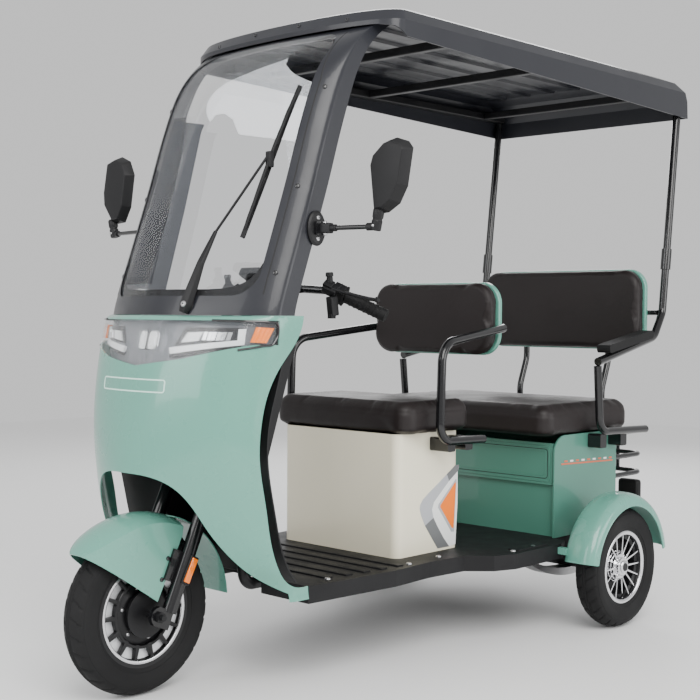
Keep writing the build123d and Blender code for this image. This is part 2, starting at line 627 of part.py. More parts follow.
# ---------------------------------------------------------------- roof rails
RAIL_SIZE = 24.0
RAIL_WIDTH = 40.0
RAIL_Y = ROOF_HALF_WIDTH - ROOF_TOP_SKIN - SEAT_GAP - RAIL_WIDTH / 2
RAIL_Z = ROOF_TOP - 60
CROSSBAR_XS = (676.0, 215.0, -420.0)

with BuildPart() as roof_rails:
    for _, sign in SIDES:
        with BuildSketch(Plane(origin=(ahead(ROOF_REAR + 26), 0, 0), x_dir=(0, 1, 0), z_dir=(1, 0, 0))):
            with Locations((sign * RAIL_Y, RAIL_Z)):
                RectangleRounded(RAIL_WIDTH, RAIL_SIZE, 3)
        extrude(amount=ROOF_SIDE_FRONT - ROOF_REAR - 110)
    for station in CROSSBAR_XS:
        with BuildSketch(side_plane(0)):
            with Locations((ahead(station), RAIL_Z)):
                RectangleRounded(RAIL_SIZE, RAIL_SIZE, 3)
        extrude(amount=RAIL_Y, both=True)
write(roof_rails, "roof_rails")

# ---------------------------------------------------------------- rear roof posts
POST_R = 13.0
POST_Y = 378.0
POST_FOOT = (-444.0, 938.0)   # station and height of the bend into the armrest
POST_TOP = (-534.0, RAIL_Z - RAIL_SIZE / 2 - SEAT_GAP)
ARM_FRONT = (-12.0, 812.0)
REAR_ARM_Y = 403.0
ARM_TUBE_R = 12.5
CLAMP_LENGTH = 70.0
CLAMP_R = 17.0
CLAMP_AT = (-465.0, 1114.0)

with BuildPart() as rear_posts:
    for _, sign in SIDES:
        with BuildPart(mode=Mode.PRIVATE) as post:
            tube([(ahead(POST_TOP[0]), sign * POST_Y, POST_TOP[1] - 2),
                  (ahead(POST_FOOT[0] - 4), sign * POST_Y, POST_FOOT[1] + 30),
                  (ahead(POST_FOOT[0] + 60), sign * (POST_Y + 6), POST_FOOT[1] - 52),
                  (ahead(ARM_FRONT[0]), sign * REAR_ARM_Y, ARM_FRONT[1])], [50, 60], POST_R)
        add(post.part)
        lean = (POST_FOOT[0] - POST_TOP[0]) / (POST_TOP[1] - POST_FOOT[1])
        with BuildSketch(Plane(origin=(ahead(CLAMP_AT[0]), sign * POST_Y, CLAMP_AT[1]), z_dir=(-lean, 0, 1))):
            Circle(CLAMP_R)
        extrude(amount=CLAMP_LENGTH)
write(rear_posts, "rear_posts")

# ---------------------------------------------------------------- rear arms: front legs under the armrests
REAR_ARM_LOW_Z = 592.0
REAR_ARM_BRACKETS = (-60.0, -180.0)
REAR_BOX_HALF_WIDTH = 350.0
REAR_BOX_TOP = 585.0
with BuildPart() as rear_arms:
    for _, sign in SIDES:
        with BuildPart(mode=Mode.PRIVATE) as arm:
            tube([(ahead(ARM_FRONT[0]), sign * REAR_ARM_Y, ARM_FRONT[1] - POST_R - SEAT_GAP),
                  (ahead(ARM_FRONT[0] - 20), sign * (REAR_ARM_Y - 2), REAR_ARM_LOW_Z),
                  (ahead(-308), sign * (REAR_ARM_Y - 2), REAR_ARM_LOW_Z - 8)], [48], ARM_TUBE_R)
        add(arm.part)
        for station in REAR_ARM_BRACKETS:
            with BuildSketch(side_plane(sign * (REAR_BOX_HALF_WIDTH + SEAT_GAP))):
                with Locations((ahead(station), REAR_ARM_LOW_Z - 32)):
                    RectangleRounded(36, 44, 6)
            extrude(amount=-sign * (REAR_ARM_Y - REAR_BOX_HALF_WIDTH - 6))
write(rear_arms, "rear_arms")

PAD_LENGTH = 270.0
with BuildPart() as rear_armrest_pads:
    for _, sign in SIDES:
        with BuildSketch(side_plane(sign * REAR_ARM_Y)):
            with Locations(Location((ahead(ARM_FRONT[0] - PAD_LENGTH / 2 - 30), ARM_FRONT[1] + 62.5, 0), (0, 0, -10))):
                RectangleRounded(PAD_LENGTH, 26, 10)
        extrude(amount=24, both=True)
write(rear_armrest_pads, "rear_armrest_pads")

# ---------------------------------------------------------------- front seat box and battery
FRONT_BOX_REAR = 460.0
FRONT_BOX_FRONT = 738.0
FRONT_BOX_HALF_WIDTH = 230.0
FRONT_BOX_TOP = 620.0
FRONT_BOX_CORNER = 26.0
BOX_WALL = 4.0
BATTERY = (200.0, 330.0, 190.0)

box_mid = ahead((FRONT_BOX_REAR + FRONT_BOX_FRONT) / 2)
box_length = FRONT_BOX_FRONT - FRONT_BOX_REAR
with BuildPart() as front_seat_box:
    with BuildSketch(Plane.XY.offset(FLOOR_TOP + SEAT_GAP)):
        with Locations((box_mid, 0)):
            RectangleRounded(box_length, 2 * FRONT_BOX_HALF_WIDTH, FRONT_BOX_CORNER)
    extrude(amount=FRONT_BOX_TOP - FLOOR_TOP - SEAT_GAP)
    with BuildSketch(Plane.XY.offset(FLOOR_TOP + SEAT_GAP + BOX_WALL)):
        with Locations((box_mid, 0)):
            RectangleRounded(box_length - 2 * BOX_WALL, 2 * (FRONT_BOX_HALF_WIDTH - BOX_WALL), FRONT_BOX_CORNER - BOX_WALL)
    extrude(amount=FRONT_BOX_TOP, mode=Mode.SUBTRACT)
write(front_seat_box, "front_seat_box")

with BuildPart() as battery_pack:
    with BuildSketch(Plane.XY.offset(FLOOR_TOP + 2 * SEAT_GAP + BOX_WALL)):
        with Locations((box_mid, 0)):
            RectangleRounded(BATTERY[0], BATTERY[1], 8)
    extrude(amount=BATTERY[2])
write(battery_pack, "battery_pack")

# ---------------------------------------------------------------- cushions and backrests
FRONT_CUSHION = (435.0, 757.0, 279.0)     # rear station, front station, half width
FRONT_CUSHION_Z = (FRONT_BOX_TOP + SEAT_GAP, 712.0)
REAR_CUSHION = (-290.0, 212.0, 372.0)
REAR_CUSHION_Z = (REAR_BOX_TOP + SEAT_GAP, 682.0)


def make_cushion(name, rear, front, half_width, low, high, corner):
    with BuildPart() as cushion:
        with BuildSketch(Plane.XY.offset(low)):
            with Locations((ahead((rear + front) / 2), 0)):
                RectangleRounded(front - rear, 2 * half_width, corner)
        extrude(amount=high - low)
        fillet(cushion.edges().group_by(Axis.Z)[-1], (high - low) * 0.4)
        fillet(cushion.edges().group_by(Axis.Z)[0], (high - low) * 0.15)
    write(cushion, name)


make_cushion("front_seat_cushion", *FRONT_CUSHION, *FRONT_CUSHION_Z, 50)
make_cushion("rear_seat_cushion", *REAR_CUSHION, *REAR_CUSHION_Z, 50)

BACK_PAD_THICKNESS = 44.0
BACK_SHELL_THICKNESS = 14.0
FRONT_BACK = (328.0, 243.0, 829.0, 1061.0)   # station of the pad's face, half width, low, high
REAR_BACK = (-372.0, 336.0, 836.0, 1120.0)


def make_backrest(name, station, half_width, low, high, thickness, corner):
    with BuildPart() as backrest:
        with BuildSketch(Plane(origin=(ahead(station), 0, 0), x_dir=(0, 1, 0), z_dir=(1, 0, 0))):
            with Locations((0, (low + high) / 2)):
                RectangleRounded(2 * half_width, high - low, corner)
        extrude(amount=-thickness)
        fillet(backrest.edges().filter_by(Plane.YZ).group_by(Axis.X)[-1], thickness * 0.35)
    write(backrest, name)


for seat, back in (("front", FRONT_BACK), ("rear", REAR_BACK)):
    face, half_width, low, high = back
    make_backrest(f"{seat}_backrest_pad", face, half_width, low, high, BACK_PAD_THICKNESS, 70)
    make_backrest(f"{seat}_backrest_shell", face - BACK_PAD_THICKNESS - SEAT_GAP, half_width - 4, low + 4, high - 4,
                  BACK_SHELL_THICKNESS, 66)

# ---------------------------------------------------------------- front arms
FRONT_ARM_Y = 303.0
FRONT_ARM_BRACKETS = (500.0, 580.0)
with BuildPart() as front_arms:
    for _, sign in SIDES:
        back_y = FRONT_BACK[1] + SEAT_GAP + ARM_TUBE_R
        with BuildPart(mode=Mode.PRIVATE) as arm:
            tube([(ahead(FRONT_BACK[0] - BACK_PAD_THICKNESS), sign * (back_y + 1), 917),
                  (ahead(632), sign * FRONT_ARM_Y, 876),
                  (ahead(641), sign * FRONT_ARM_Y, 600),
                  (ahead(440), sign * FRONT_ARM_Y, 594)], [66, 48], ARM_TUBE_R)
        add(arm.part)
        for station in FRONT_ARM_BRACKETS:
            with BuildSketch(side_plane(sign * (FRONT_BOX_HALF_WIDTH + SEAT_GAP))):
                with Locations((ahead(station), 586)):
                    RectangleRounded(34, 40, 6)
            extrude(amount=-sign * (FRONT_ARM_Y - FRONT_BOX_HALF_WIDTH - 6))
write(front_arms, "front_arms")

# ---------------------------------------------------------------- rear box
REAR_BOX_FRONT = 142.0
REAR_BOX_REAR = -212.0
REAR_BOX_TOP_REAR = REAR_BOX_TOP
DOOR_LOW = 432.0
DOOR_THICKNESS = 12.0
DOOR_INSET = 8.0              # between the door's ends and the side panels
PANEL = 5.0
LOWER_PANEL_SETBACK = 22.0

with BuildPart() as rear_box_sides:
    for _, sign in SIDES:
        with BuildSketch(side_plane(sign * (REAR_BOX_HALF_WIDTH - PANEL / 2))):
            with BuildLine():
                FilletPolyline((ahead(REAR_BOX_REAR), FLOOR_TOP + SEAT_GAP), (ahead(REAR_BOX_FRONT), FLOOR_TOP + SEAT_GAP),
                               (ahead(REAR_BOX_FRONT), REAR_BOX_TOP), (ahead(REAR_BOX_REAR), REAR_BOX_TOP_REAR),
                               radius=[2, 55])
                Line((ahead(REAR_BOX_REAR), REAR_BOX_TOP_REAR), (ahead(REAR_BOX_REAR), FLOOR_TOP + SEAT_GAP))
            make_face()
        extrude(amount=PANEL / 2, both=True)
write(rear_box_sides, "rear_box_sides")

panel_half_width = REAR_BOX_HALF_WIDTH - PANEL - SEAT_GAP
ACROSS = Plane(origin=(0, 0, 0), x_dir=(0, 1, 0), z_dir=(1, 0, 0))

with BuildPart() as rear_box_front:
    front_low = FLOOR_TOP + SEAT_GAP
    with BuildSketch(ACROSS.offset(ahead(REAR_BOX_FRONT - LOWER_PANEL_SETBACK))):
        with Locations((0, (front_low + REAR_BOX_TOP - 30) / 2)):
            Rectangle(2 * panel_half_width, REAR_BOX_TOP - 30 - front_low)
    extrude(amount=-PANEL)
    with BuildSketch(ACROSS.offset(ahead(REAR_BOX_FRONT - LOWER_PANEL_SETBACK) + 1)):
        with Locations((0, (DOOR_LOW + REAR_BOX_TOP) / 2 - 8)):
            Rectangle(2 * (panel_half_width - 30), REAR_BOX_TOP - DOOR_LOW - 60)
    extrude(amount=-PANEL - 2, mode=Mode.SUBTRACT)
write(rear_box_front, "rear_box_front")

with BuildPart() as rear_box_back:
    with BuildSketch(ACROSS.offset(ahead(REAR_BOX_REAR + PANEL + SEAT_GAP))):
        with Locations((0, (FLOOR_TOP + SEAT_GAP + REAR_BOX_TOP_REAR) / 2)):
            Rectangle(2 * panel_half_width, REAR_BOX_TOP_REAR - FLOOR_TOP - SEAT_GAP)
    extrude(amount=-PANEL)
write(rear_box_back, "rear_box_back")

DOOR_TOP = REAR_BOX_TOP - 24.0
DOOR_REAR = REAR_BOX_FRONT - LOWER_PANEL_SETBACK + SEAT_GAP
HINGE_PIN_R = 4.0
with BuildPart() as storage_door:
    with BuildSketch(ACROSS.offset(ahead(DOOR_REAR))):
        with Locations((0, (DOOR_LOW + DOOR_TOP) / 2)):
            RectangleRounded(2 * (panel_half_width - DOOR_INSET), DOOR_TOP - DOOR_LOW, 8)
    extrude(amount=DOOR_THICKNESS)
    with BuildSketch(ACROSS.offset(ahead(DOOR_REAR) + DOOR_THICKNESS)):
        with Locations((0, (DOOR_LOW + DOOR_TOP) / 2)):
            RectangleRounded(2 * (panel_half_width - DOOR_INSET) - 60, DOOR_TOP - DOOR_LOW - 50, 6)
    extrude(amount=-4, mode=Mode.SUBTRACT)
write(storage_door, "storage_door")

# ---------------------------------------------------------------- floor
FLOOR_SHEET = 5.0
FLOOR_SKIRT = 44.0
FRAME_TUBE_R = 16.0
FRAME_RAIL_Y = 100.0
FLOOR_LOBE_Y = 418.0
FLOOR_EDGE = (
    (1160, 306), (1120, 309), (850, 328), (700, 318), (560, 330), (500, 392), (430, FLOOR_LOBE_Y),
    (200, FLOOR_LOBE_Y), (150, 396), (130, 344), (-300, 344),
)


def floor_outline(inset):
    """Plan of the floor, moved inwards by inset."""
    left = [(ahead(x), y) for x, y in FLOOR_EDGE]
    right = [(x, -y) for x, y in reversed(left)]
    with BuildSketch(Plane.XY.offset(FLOOR_TOP)) as outline:
        with BuildLine():
            Polyline(*left, *right, close=True)
        make_face()
        if inset:
            offset(amount=-inset)
    return outline.sketch


floor_plan, floor_hollow = floor_outline(0), floor_outline(FLOOR_SHEET)
with BuildPart() as floor_board:
    extrude(floor_plan, amount=-FLOOR_SKIRT)
    extrude(floor_hollow.moved(Location((0, 0, -FLOOR_SHEET))), amount=-FLOOR_SKIRT, mode=Mode.SUBTRACT)
    for end in (FLOOR_EDGE[0][0], FLOOR_EDGE[-1][0]):
        with BuildSketch(Plane.XY.offset(FLOOR_TOP - FLOOR_SHEET)):
            with Locations((ahead(end), 0)):
                Rectangle(60, 2 * (FRAME_RAIL_Y + 30))
        extrude(amount=-FLOOR_SKIRT, mode=Mode.SUBTRACT)
write(floor_board, "floor_board")

# ---------------------------------------------------------------- chassis frame
CROSS_TUBE_R = 12.0
CROSS_HALF_LENGTH = 300.0
SPRING_HALF_LENGTH = 260.0
frame_z = FLOOR_TOP - FLOOR_SHEET - FRAME_TUBE_R - SEAT_GAP

with BuildPart() as chassis_frame:
    with BuildSketch(STEER_PLANE.offset(along_steering(HEAD_LOW_Z))):
        Circle(HEAD_R)
    extrude(amount=along_steering(HEAD_HIGH_Z) - along_steering(HEAD_LOW_Z))
    for _, sign in SIDES:
        with BuildPart(mode=Mode.PRIVATE) as rail:
            tube([(steering_x(700), sign * 14, 700), (ahead(1186), sign * 50, 540),
                  (ahead(1190), sign * FRAME_RAIL_Y, frame_z), (ahead(-330), sign * FRAME_RAIL_Y, frame_z)],
                 [60, 26], FRAME_TUBE_R)
        add(rail.part)
    for station in (1000, 740, 470, SPRING_HALF_LENGTH, -SPRING_HALF_LENGTH):
        with BuildSketch(side_plane(0)):
            with Locations((ahead(station), frame_z)):
                Circle(CROSS_TUBE_R)
        extrude(amount=CROSS_HALF_LENGTH, both=True)
    with BuildSketch(STEER_PLANE.offset(along_steering(HEAD_LOW_Z) - 1)):
        Circle(STEM_R + RUNNING_GAP)
    extrude(amount=400, mode=Mode.SUBTRACT)
write(chassis_frame, "chassis_frame")

# ---------------------------------------------------------------- rear axle and springs
AXLE_TUBE_R = 24.0
MOTOR_R = 58.0
MOTOR_HALF_LENGTH = 76.0
SPRING_Y = 300.0
SPRING_WIDTH = 50.0
SPRING_EYE_R = 12.0
axle_inner = WHEEL_Y - REAR_HUB_LENGTH / 2 - 1.0
with BuildPart() as rear_axle:
    with BuildSketch(side_plane(0)):
        with Locations((REAR_AXLE_X, REAR_AXLE_Z)):
            Circle(REAR_SPINDLE_R)
    extrude(amount=WHEEL_Y + REAR_HUB_LENGTH / 2 - 2, both=True)
    with BuildSketch(side_plane(0)):
        with Locations((REAR_AXLE_X, REAR_AXLE_Z)):
            Circle(AXLE_TUBE_R)
    extrude(amount=axle_inner, both=True)
    with BuildSketch(side_plane(0)):
        with Locations((REAR_AXLE_X, REAR_AXLE_Z)):
            Circle(MOTOR_R)
    extrude(amount=MOTOR_HALF_LENGTH, both=True)
    for _, sign in SIDES:
        with BuildSketch(side_plane(sign * (axle_inner - 12))):
            with Locations((REAR_AXLE_X, REAR_AXLE_Z)):
                Circle(66)
        extrude(amount=12, both=True)
write(rear_axle, "rear_axle")

spring_seat = frame_z - CROSS_TUBE_R - SEAT_GAP
with BuildPart() as rear_springs:
    for _, sign in SIDES:
        with BuildSketch(side_plane(sign * SPRING_Y)):
            with BuildLine():
                low = REAR_AXLE_Z - AXLE_TUBE_R - SEAT_GAP
                lower = ThreePointArc((ahead(-SPRING_HALF_LENGTH), spring_seat - 16), (ahead(0), low - 24),
                                      (ahead(SPRING_HALF_LENGTH), spring_seat - 16))
                upper = ThreePointArc((ahead(-SPRING_HALF_LENGTH), spring_seat - 8), (ahead(0), low),
                                      (ahead(SPRING_HALF_LENGTH), spring_seat - 8))
                Line(lower @ 0, upper @ 0)
                Line(lower @ 1, upper @ 1)
            make_face()
            with Locations((ahead(-SPRING_HALF_LENGTH), spring_seat - SPRING_EYE_R),
                           (ahead(SPRING_HALF_LENGTH), spring_seat - SPRING_EYE_R)):
                Circle(SPRING_EYE_R)
        extrude(amount=SPRING_WIDTH / 2, both=True)
write(rear_springs, "rear_springs")

# ---------------------------------------------------------------- rear fenders
REAR_FENDER_R = 229.0         # crown, about the rear axle
REAR_FENDER_IN = 440.0
REAR_FENDER_OUT = 542.0
REAR_FENDER_LIP_R = 191.0
REAR_FENDER_WALL = 4.0
FENDER_START = 10.0           # angle of the front end, measured up from straight ahead
FENDER_END = 169.0
FENDER_FOOT = (16.0, 20.0)      # bracket from the floor edge to the fender, length and height
FENDER_FOOT_AT = (212.0, 252.0)
FENDER_FOOT_REACH = 30.0


with BuildPart() as rear_fenders:
    for _, sign in SIDES:
        start = radians(FENDER_START)
        axle = (REAR_AXLE_X, 0, REAR_AXLE_Z)
        with BuildSketch(Plane(origin=axle, x_dir=(0, 1, 0), z_dir=(sin(start), 0, -cos(start)))):
            with BuildLine():
                out, crown_y, inn = sign * REAR_FENDER_OUT, sign * (REAR_FENDER_IN + 44), sign * REAR_FENDER_IN
                wall = sign * REAR_FENDER_WALL
                Bezier((inn, REAR_FENDER_R - 12), (inn + sign * 14, REAR_FENDER_R), (crown_y - sign * 12, REAR_FENDER_R),
                       (crown_y, REAR_FENDER_R))
                Bezier((crown_y, REAR_FENDER_R), (crown_y + sign * 44, REAR_FENDER_R),
                       (out, REAR_FENDER_R - 12), (out, REAR_FENDER_LIP_R))
                Line((out, REAR_FENDER_LIP_R), (out - wall, REAR_FENDER_LIP_R))
                Bezier((out - wall, REAR_FENDER_LIP_R), (out - wall, REAR_FENDER_R - 12 - REAR_FENDER_WALL),
                       (crown_y + sign * 42, REAR_FENDER_R - REAR_FENDER_WALL), (crown_y, REAR_FENDER_R - REAR_FENDER_WALL))
                Bezier((crown_y, REAR_FENDER_R - REAR_FENDER_WALL), (crown_y - sign * 12, REAR_FENDER_R - REAR_FENDER_WALL),
                       (inn + sign * 14, REAR_FENDER_R - REAR_FENDER_WALL), (inn, REAR_FENDER_R - 12 - REAR_FENDER_WALL))
                Line((inn, REAR_FENDER_R - 12 - REAR_FENDER_WALL), (inn, REAR_FENDER_R - 12))
            make_face()
        revolve(axis=Axis(axle, (0, -1, 0)), revolution_arc=FENDER_END - FENDER_START)
        foot = FLOOR_LOBE_Y + SEAT_GAP
        with Locations((ahead(FENDER_FOOT_AT[0]), sign * (foot + FENDER_FOOT_REACH / 2), FENDER_FOOT_AT[1])):
            Box(FENDER_FOOT[0], FENDER_FOOT_REACH, FENDER_FOOT[1])
write(rear_fenders, "rear_fenders")

# ---------------------------------------------------------------- rear rack
RACK_R = 8.0
SUPPORT_FOOT = -402.0         # station of the bar that carries the rear backrest's supports
RACK_HEIGHTS = (563.0, 483.0, 421.0)
with BuildPart() as rear_rack:
    for height in RACK_HEIGHTS:
        with BuildPart(mode=Mode.PRIVATE) as loop:
            tube([(ahead(REAR_BOX_REAR) - SEAT_GAP, -300, height), (ahead(-470), -300, height),
                  (ahead(-470), 300, height), (ahead(REAR_BOX_REAR) - SEAT_GAP, 300, height)], [50, 50], RACK_R)
        add(loop.part)
    with BuildSketch(side_plane(0)):
        with Locations((ahead(SUPPORT_FOOT), RACK_HEIGHTS[0])):
            Circle(RACK_R - 1)
    extrude(amount=300, both=True)
    for offset_y in (-200, 0, 200):
        with BuildSketch(Plane.XY.offset(RACK_HEIGHTS[-1])):
            with Locations((ahead(-470), offset_y)):
                Circle(RACK_R * 0.8)
        extrude(amount=RACK_HEIGHTS[0] - RACK_HEIGHTS[-1])
write(rear_rack, "rear_rack")

with BuildPart() as tail_lamps:
    for _, sign in SIDES:
        with BuildSketch(ACROSS.offset(ahead(REAR_BOX_REAR) - SEAT_GAP)):
            with Locations((sign * 255, 345)):
                RectangleRounded(130, 76, 24)
        extrude(amount=-46)
write(tail_lamps, "tail_lamps")

# ---------------------------------------------------------------- rear backrest supports
SUPPORT_R = 11.0
SUPPORT_Y = 173.0
BACK_RAIL_R = 9.0
shell_back = REAR_BACK[0] - BACK_PAD_THICKNESS - BACK_SHELL_THICKNESS - 2 * SEAT_GAP
with BuildPart() as rear_backrest_frame:
    for _, sign in SIDES:
        with BuildPart(mode=Mode.PRIVATE) as support:
            tube([(ahead(SUPPORT_FOOT), sign * SUPPORT_Y, RACK_HEIGHTS[0] + RACK_R + SEAT_GAP),
                  (ahead(SUPPORT_FOOT), sign * SUPPORT_Y, 700),
                  (ahead(shell_back) - SUPPORT_R, sign * SUPPORT_Y, 800),
                  (ahead(shell_back) - SUPPORT_R, sign * SUPPORT_Y, 1000)], [90, 90], SUPPORT_R)
        add(support.part)
    with BuildSketch(side_plane(0)):
        with Locations((ahead(POST_FOOT[0]) + 2, POST_FOOT[1] + 30)):
            Circle(BACK_RAIL_R)
    extrude(amount=POST_Y - POST_R - SEAT_GAP, both=True)
write(rear_backrest_frame, "rear_backrest_frame")

# ---------------------------------------------------------------- mirrors
MIRROR_BASE_X = 1159.0         # stem foot on the windscreen pillar
MIRROR_X = 1124.6             # stem end, swept back from its foot
MIRROR_Y = {"left": 495.5, "right": 560.5}
MIRROR_JOINT_Z = {"left": 1169.6, "right": 1190.6}
MIRROR_BASE = (30.0, 34.0)
MIRROR_LOW = 30.0             # lower edge of the shell above the joint
MIRROR_DEPTH = 30.0
# outlines seen from the front, across from the stem and up from the shell's foot
MIRROR_SHAPES = {
    "left": ((0, 0), (-14, 118), (-4, 146), (34, 176), (60, 181), (98, 169), (112, 152), (96, 62), (72, 22), (36, 2)),
    "right": ((3, 0), (-36, 3), (-64, 47), (-81, 142), (-61, 183), (-20, 200), (28, 186), (47, 95), (44, 53)),
}
with BuildPart() as mirror_stems:
    for side, sign in SIDES:
        joint_z = MIRROR_JOINT_Z[side]
        with BuildPart(mode=Mode.PRIVATE) as stem:
            tube([(ahead(MIRROR_BASE_X), sign * (FRAME_HALF_WIDTH + 6), joint_z),
                  (ahead(MIRROR_X), sign * MIRROR_Y[side], joint_z),
                  (ahead(MIRROR_X), sign * (MIRROR_Y[side] + 10), joint_z + MIRROR_LOW - 2)], [16], 6)
        add(stem.part)
        with BuildSketch(side_plane(sign * (FRAME_HALF_WIDTH + SEAT_GAP + 9))):
            with Locations((ahead(MIRROR_BASE_X) + 6, joint_z)):
                RectangleRounded(*MIRROR_BASE, 5)
        extrude(amount=9, both=True)
write(mirror_stems, "mirror_stems")

with BuildPart() as mirror_shells:
    for side, sign in SIDES:
        mirror_plane = Plane(origin=(ahead(MIRROR_X) - 12, sign * (MIRROR_Y[side] - 4),
                                     MIRROR_JOINT_Z[side] + MIRROR_LOW),
                             x_dir=(0, 1, 0), z_dir=(1, 0, 0))
        with BuildSketch(mirror_plane):
            with BuildLine():
                Polyline(*[(sign * across, up) for across, up in MIRROR_SHAPES[side]], close=True)
            make_face()
        extrude(amount=MIRROR_DEPTH, taper=22)
write(mirror_shells, "mirror_shells")

WIPER_PIVOT = (1394.0, 125.0, 977.0)
WIPER_JOINT = (1256.0, 203.0, 1314.0)
BLADE_LOW = (1304.0, 209.0, 1146.0)
BLADE_HIGH = (1152.0, 247.0, 1523.0)
with BuildPart() as wiper:
    pivot, joint, low, high = ((ahead(x), y, z) for x, y, z in (WIPER_PIVOT, WIPER_JOINT, BLADE_LOW, BLADE_HIGH))
    with BuildPart(mode=Mode.PRIVATE) as arm:
        tube([(pivot[0] + 10, pivot[1], pivot[2]), (joint[0] + 2, joint[1], joint[2])], [], 4)
    add(arm.part)
    with BuildPart(mode=Mode.PRIVATE) as blade:
        tube([low, high], [], 5)
    add(blade.part)
    with BuildSketch(Plane(origin=(pivot[0] + 16, pivot[1], pivot[2]), z_dir=(1, 0.25, 0.1))):
        Circle(11)
    extrude(amount=-30)
    add(screen_bulk(-SEAT_GAP), mode=Mode.SUBTRACT)
write(wiper, "wiper")
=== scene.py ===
import json
import math

import bmesh
import bpy
from mathutils import Matrix, Vector, noise
from mathutils.bvhtree import BVHTree


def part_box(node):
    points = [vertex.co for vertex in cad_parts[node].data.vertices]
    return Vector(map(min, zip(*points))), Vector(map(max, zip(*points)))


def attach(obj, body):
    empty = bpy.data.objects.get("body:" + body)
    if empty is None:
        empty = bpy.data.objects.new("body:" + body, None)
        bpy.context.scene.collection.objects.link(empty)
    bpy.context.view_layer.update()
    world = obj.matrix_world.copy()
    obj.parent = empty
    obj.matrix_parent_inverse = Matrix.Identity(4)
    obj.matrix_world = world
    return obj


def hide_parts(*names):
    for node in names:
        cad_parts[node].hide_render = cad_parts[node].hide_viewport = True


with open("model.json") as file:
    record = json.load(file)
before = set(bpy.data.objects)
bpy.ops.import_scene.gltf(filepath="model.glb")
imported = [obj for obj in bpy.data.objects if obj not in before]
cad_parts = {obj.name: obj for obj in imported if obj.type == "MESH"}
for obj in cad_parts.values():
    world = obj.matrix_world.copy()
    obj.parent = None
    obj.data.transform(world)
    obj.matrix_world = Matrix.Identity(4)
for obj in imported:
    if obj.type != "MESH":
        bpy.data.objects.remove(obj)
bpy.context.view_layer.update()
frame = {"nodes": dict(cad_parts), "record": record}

NODES = frame["nodes"]

# ------------------------ places taken from the frame
low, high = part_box("rear_tyre_left")
REAR = Vector(((low[0] + high[0]) / 2, (low[1] + high[1]) / 2, (low[2] + high[2]) / 2))
low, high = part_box("front_tyre")
FRONT = Vector(((low[0] + high[0]) / 2, 0.0, (low[2] + high[2]) / 2))
RX = REAR.x


def at(x, y, z):
    """Point given by its distance ahead of the rear axle."""
    return Vector((RX + x, y, z))


def mm(*pairs):
    """Pairs given in millimetres."""
    return [tuple(value / 1000 for value in pair) for pair in pairs]


# where rays towards the tricycle start, and the tyre and rim radii
FAR_AHEAD, NEAR_AHEAD, FAR_ASIDE = at(2.2, 0, 0).x, at(1.3, 0, 0).x, 0.7
FRONT_TYRE_R, FRONT_RIM_R = 0.2075, 0.127
REAR_TYRE_R, REAR_RIM_R = 0.185, 0.1016
AXLE = (0, 1, 0)
TIP = 0.00001  # radius that closes a turned profile


# ------------------------ materials
WEAR_SCALE = 9.0


def clouds(tree, coords, scale, detail):
    """Noise over the object's own coordinates."""
    texture = tree.nodes.new("ShaderNodeTexNoise")
    texture.inputs["Scale"].default_value = scale
    texture.inputs["Detail"].default_value = detail
    tree.links.new(coords.outputs["Object"], texture.inputs["Vector"])
    return texture.outputs["Fac"]


def bumps(tree, height, strength, distance):
    """Bump node fed by a height."""
    bump = tree.nodes.new("ShaderNodeBump")
    bump.inputs["Strength"].default_value = strength
    bump.inputs["Distance"].default_value = distance
    tree.links.new(height, bump.inputs["Height"])
    return bump


def material(name, color, rough=0.5, metal=0.0, coat=0.0, spec=0.5, grain=0.0, grain_scale=400.0,
             wear=0.0, transmission=0.0, alpha=1.0, ior=1.45, emission=0.0, tint=0.0):
    m = bpy.data.materials.new(name)
    m.use_nodes = True
    tree = m.node_tree
    shader = tree.nodes["Principled BSDF"]
    for socket, value in (("Base Color", (*color, 1.0)), ("Roughness", rough), ("Metallic", metal),
                          ("Coat Weight", coat), ("Coat Roughness", 0.06), ("Specular IOR Level", spec),
                          ("IOR", ior), ("Transmission Weight", transmission), ("Alpha", alpha)):
        shader.inputs[socket].default_value = value
    if emission:
        shader.inputs["Emission Color"].default_value = (*color, 1.0)
        shader.inputs["Emission Strength"].default_value = emission
    coords = tree.nodes.new("ShaderNodeTexCoord")
    if wear:
        span = tree.nodes.new("ShaderNodeMapRange")
        span.inputs["From Min"].default_value = 0.3
        span.inputs["From Max"].default_value = 0.7
        span.inputs["To Min"].default_value = max(0.02, rough - wear)
        span.inputs["To Max"].default_value = min(1.0, rough + wear)
        tree.links.new(clouds(tree, coords, WEAR_SCALE, 5.0), span.inputs["Value"])
        tree.links.new(span.outputs["Result"], shader.inputs["Roughness"])
    if tint:
        ramp = tree.nodes.new("ShaderNodeValToRGB")
        ramp.color_ramp.elements[0].position = 0.3
        ramp.color_ramp.elements[1].position = 0.7
        ramp.color_ramp.elements[0].color = (*[c * (1 - tint) for c in color], 1)
        ramp.color_ramp.elements[1].color = (*[min(1.0, c * (1 + tint)) for c in color], 1)
        tree.links.new(clouds(tree, coords, 3.0, 3.0), ramp.inputs["Fac"])
        tree.links.new(ramp.outputs["Color"], shader.inputs["Base Color"])
    if grain:
        bump = bumps(tree, clouds(tree, coords, grain_scale, 3.0), grain, 0.001)
        tree.links.new(bump.outputs["Normal"], shader.inputs["Normal"])
    return m


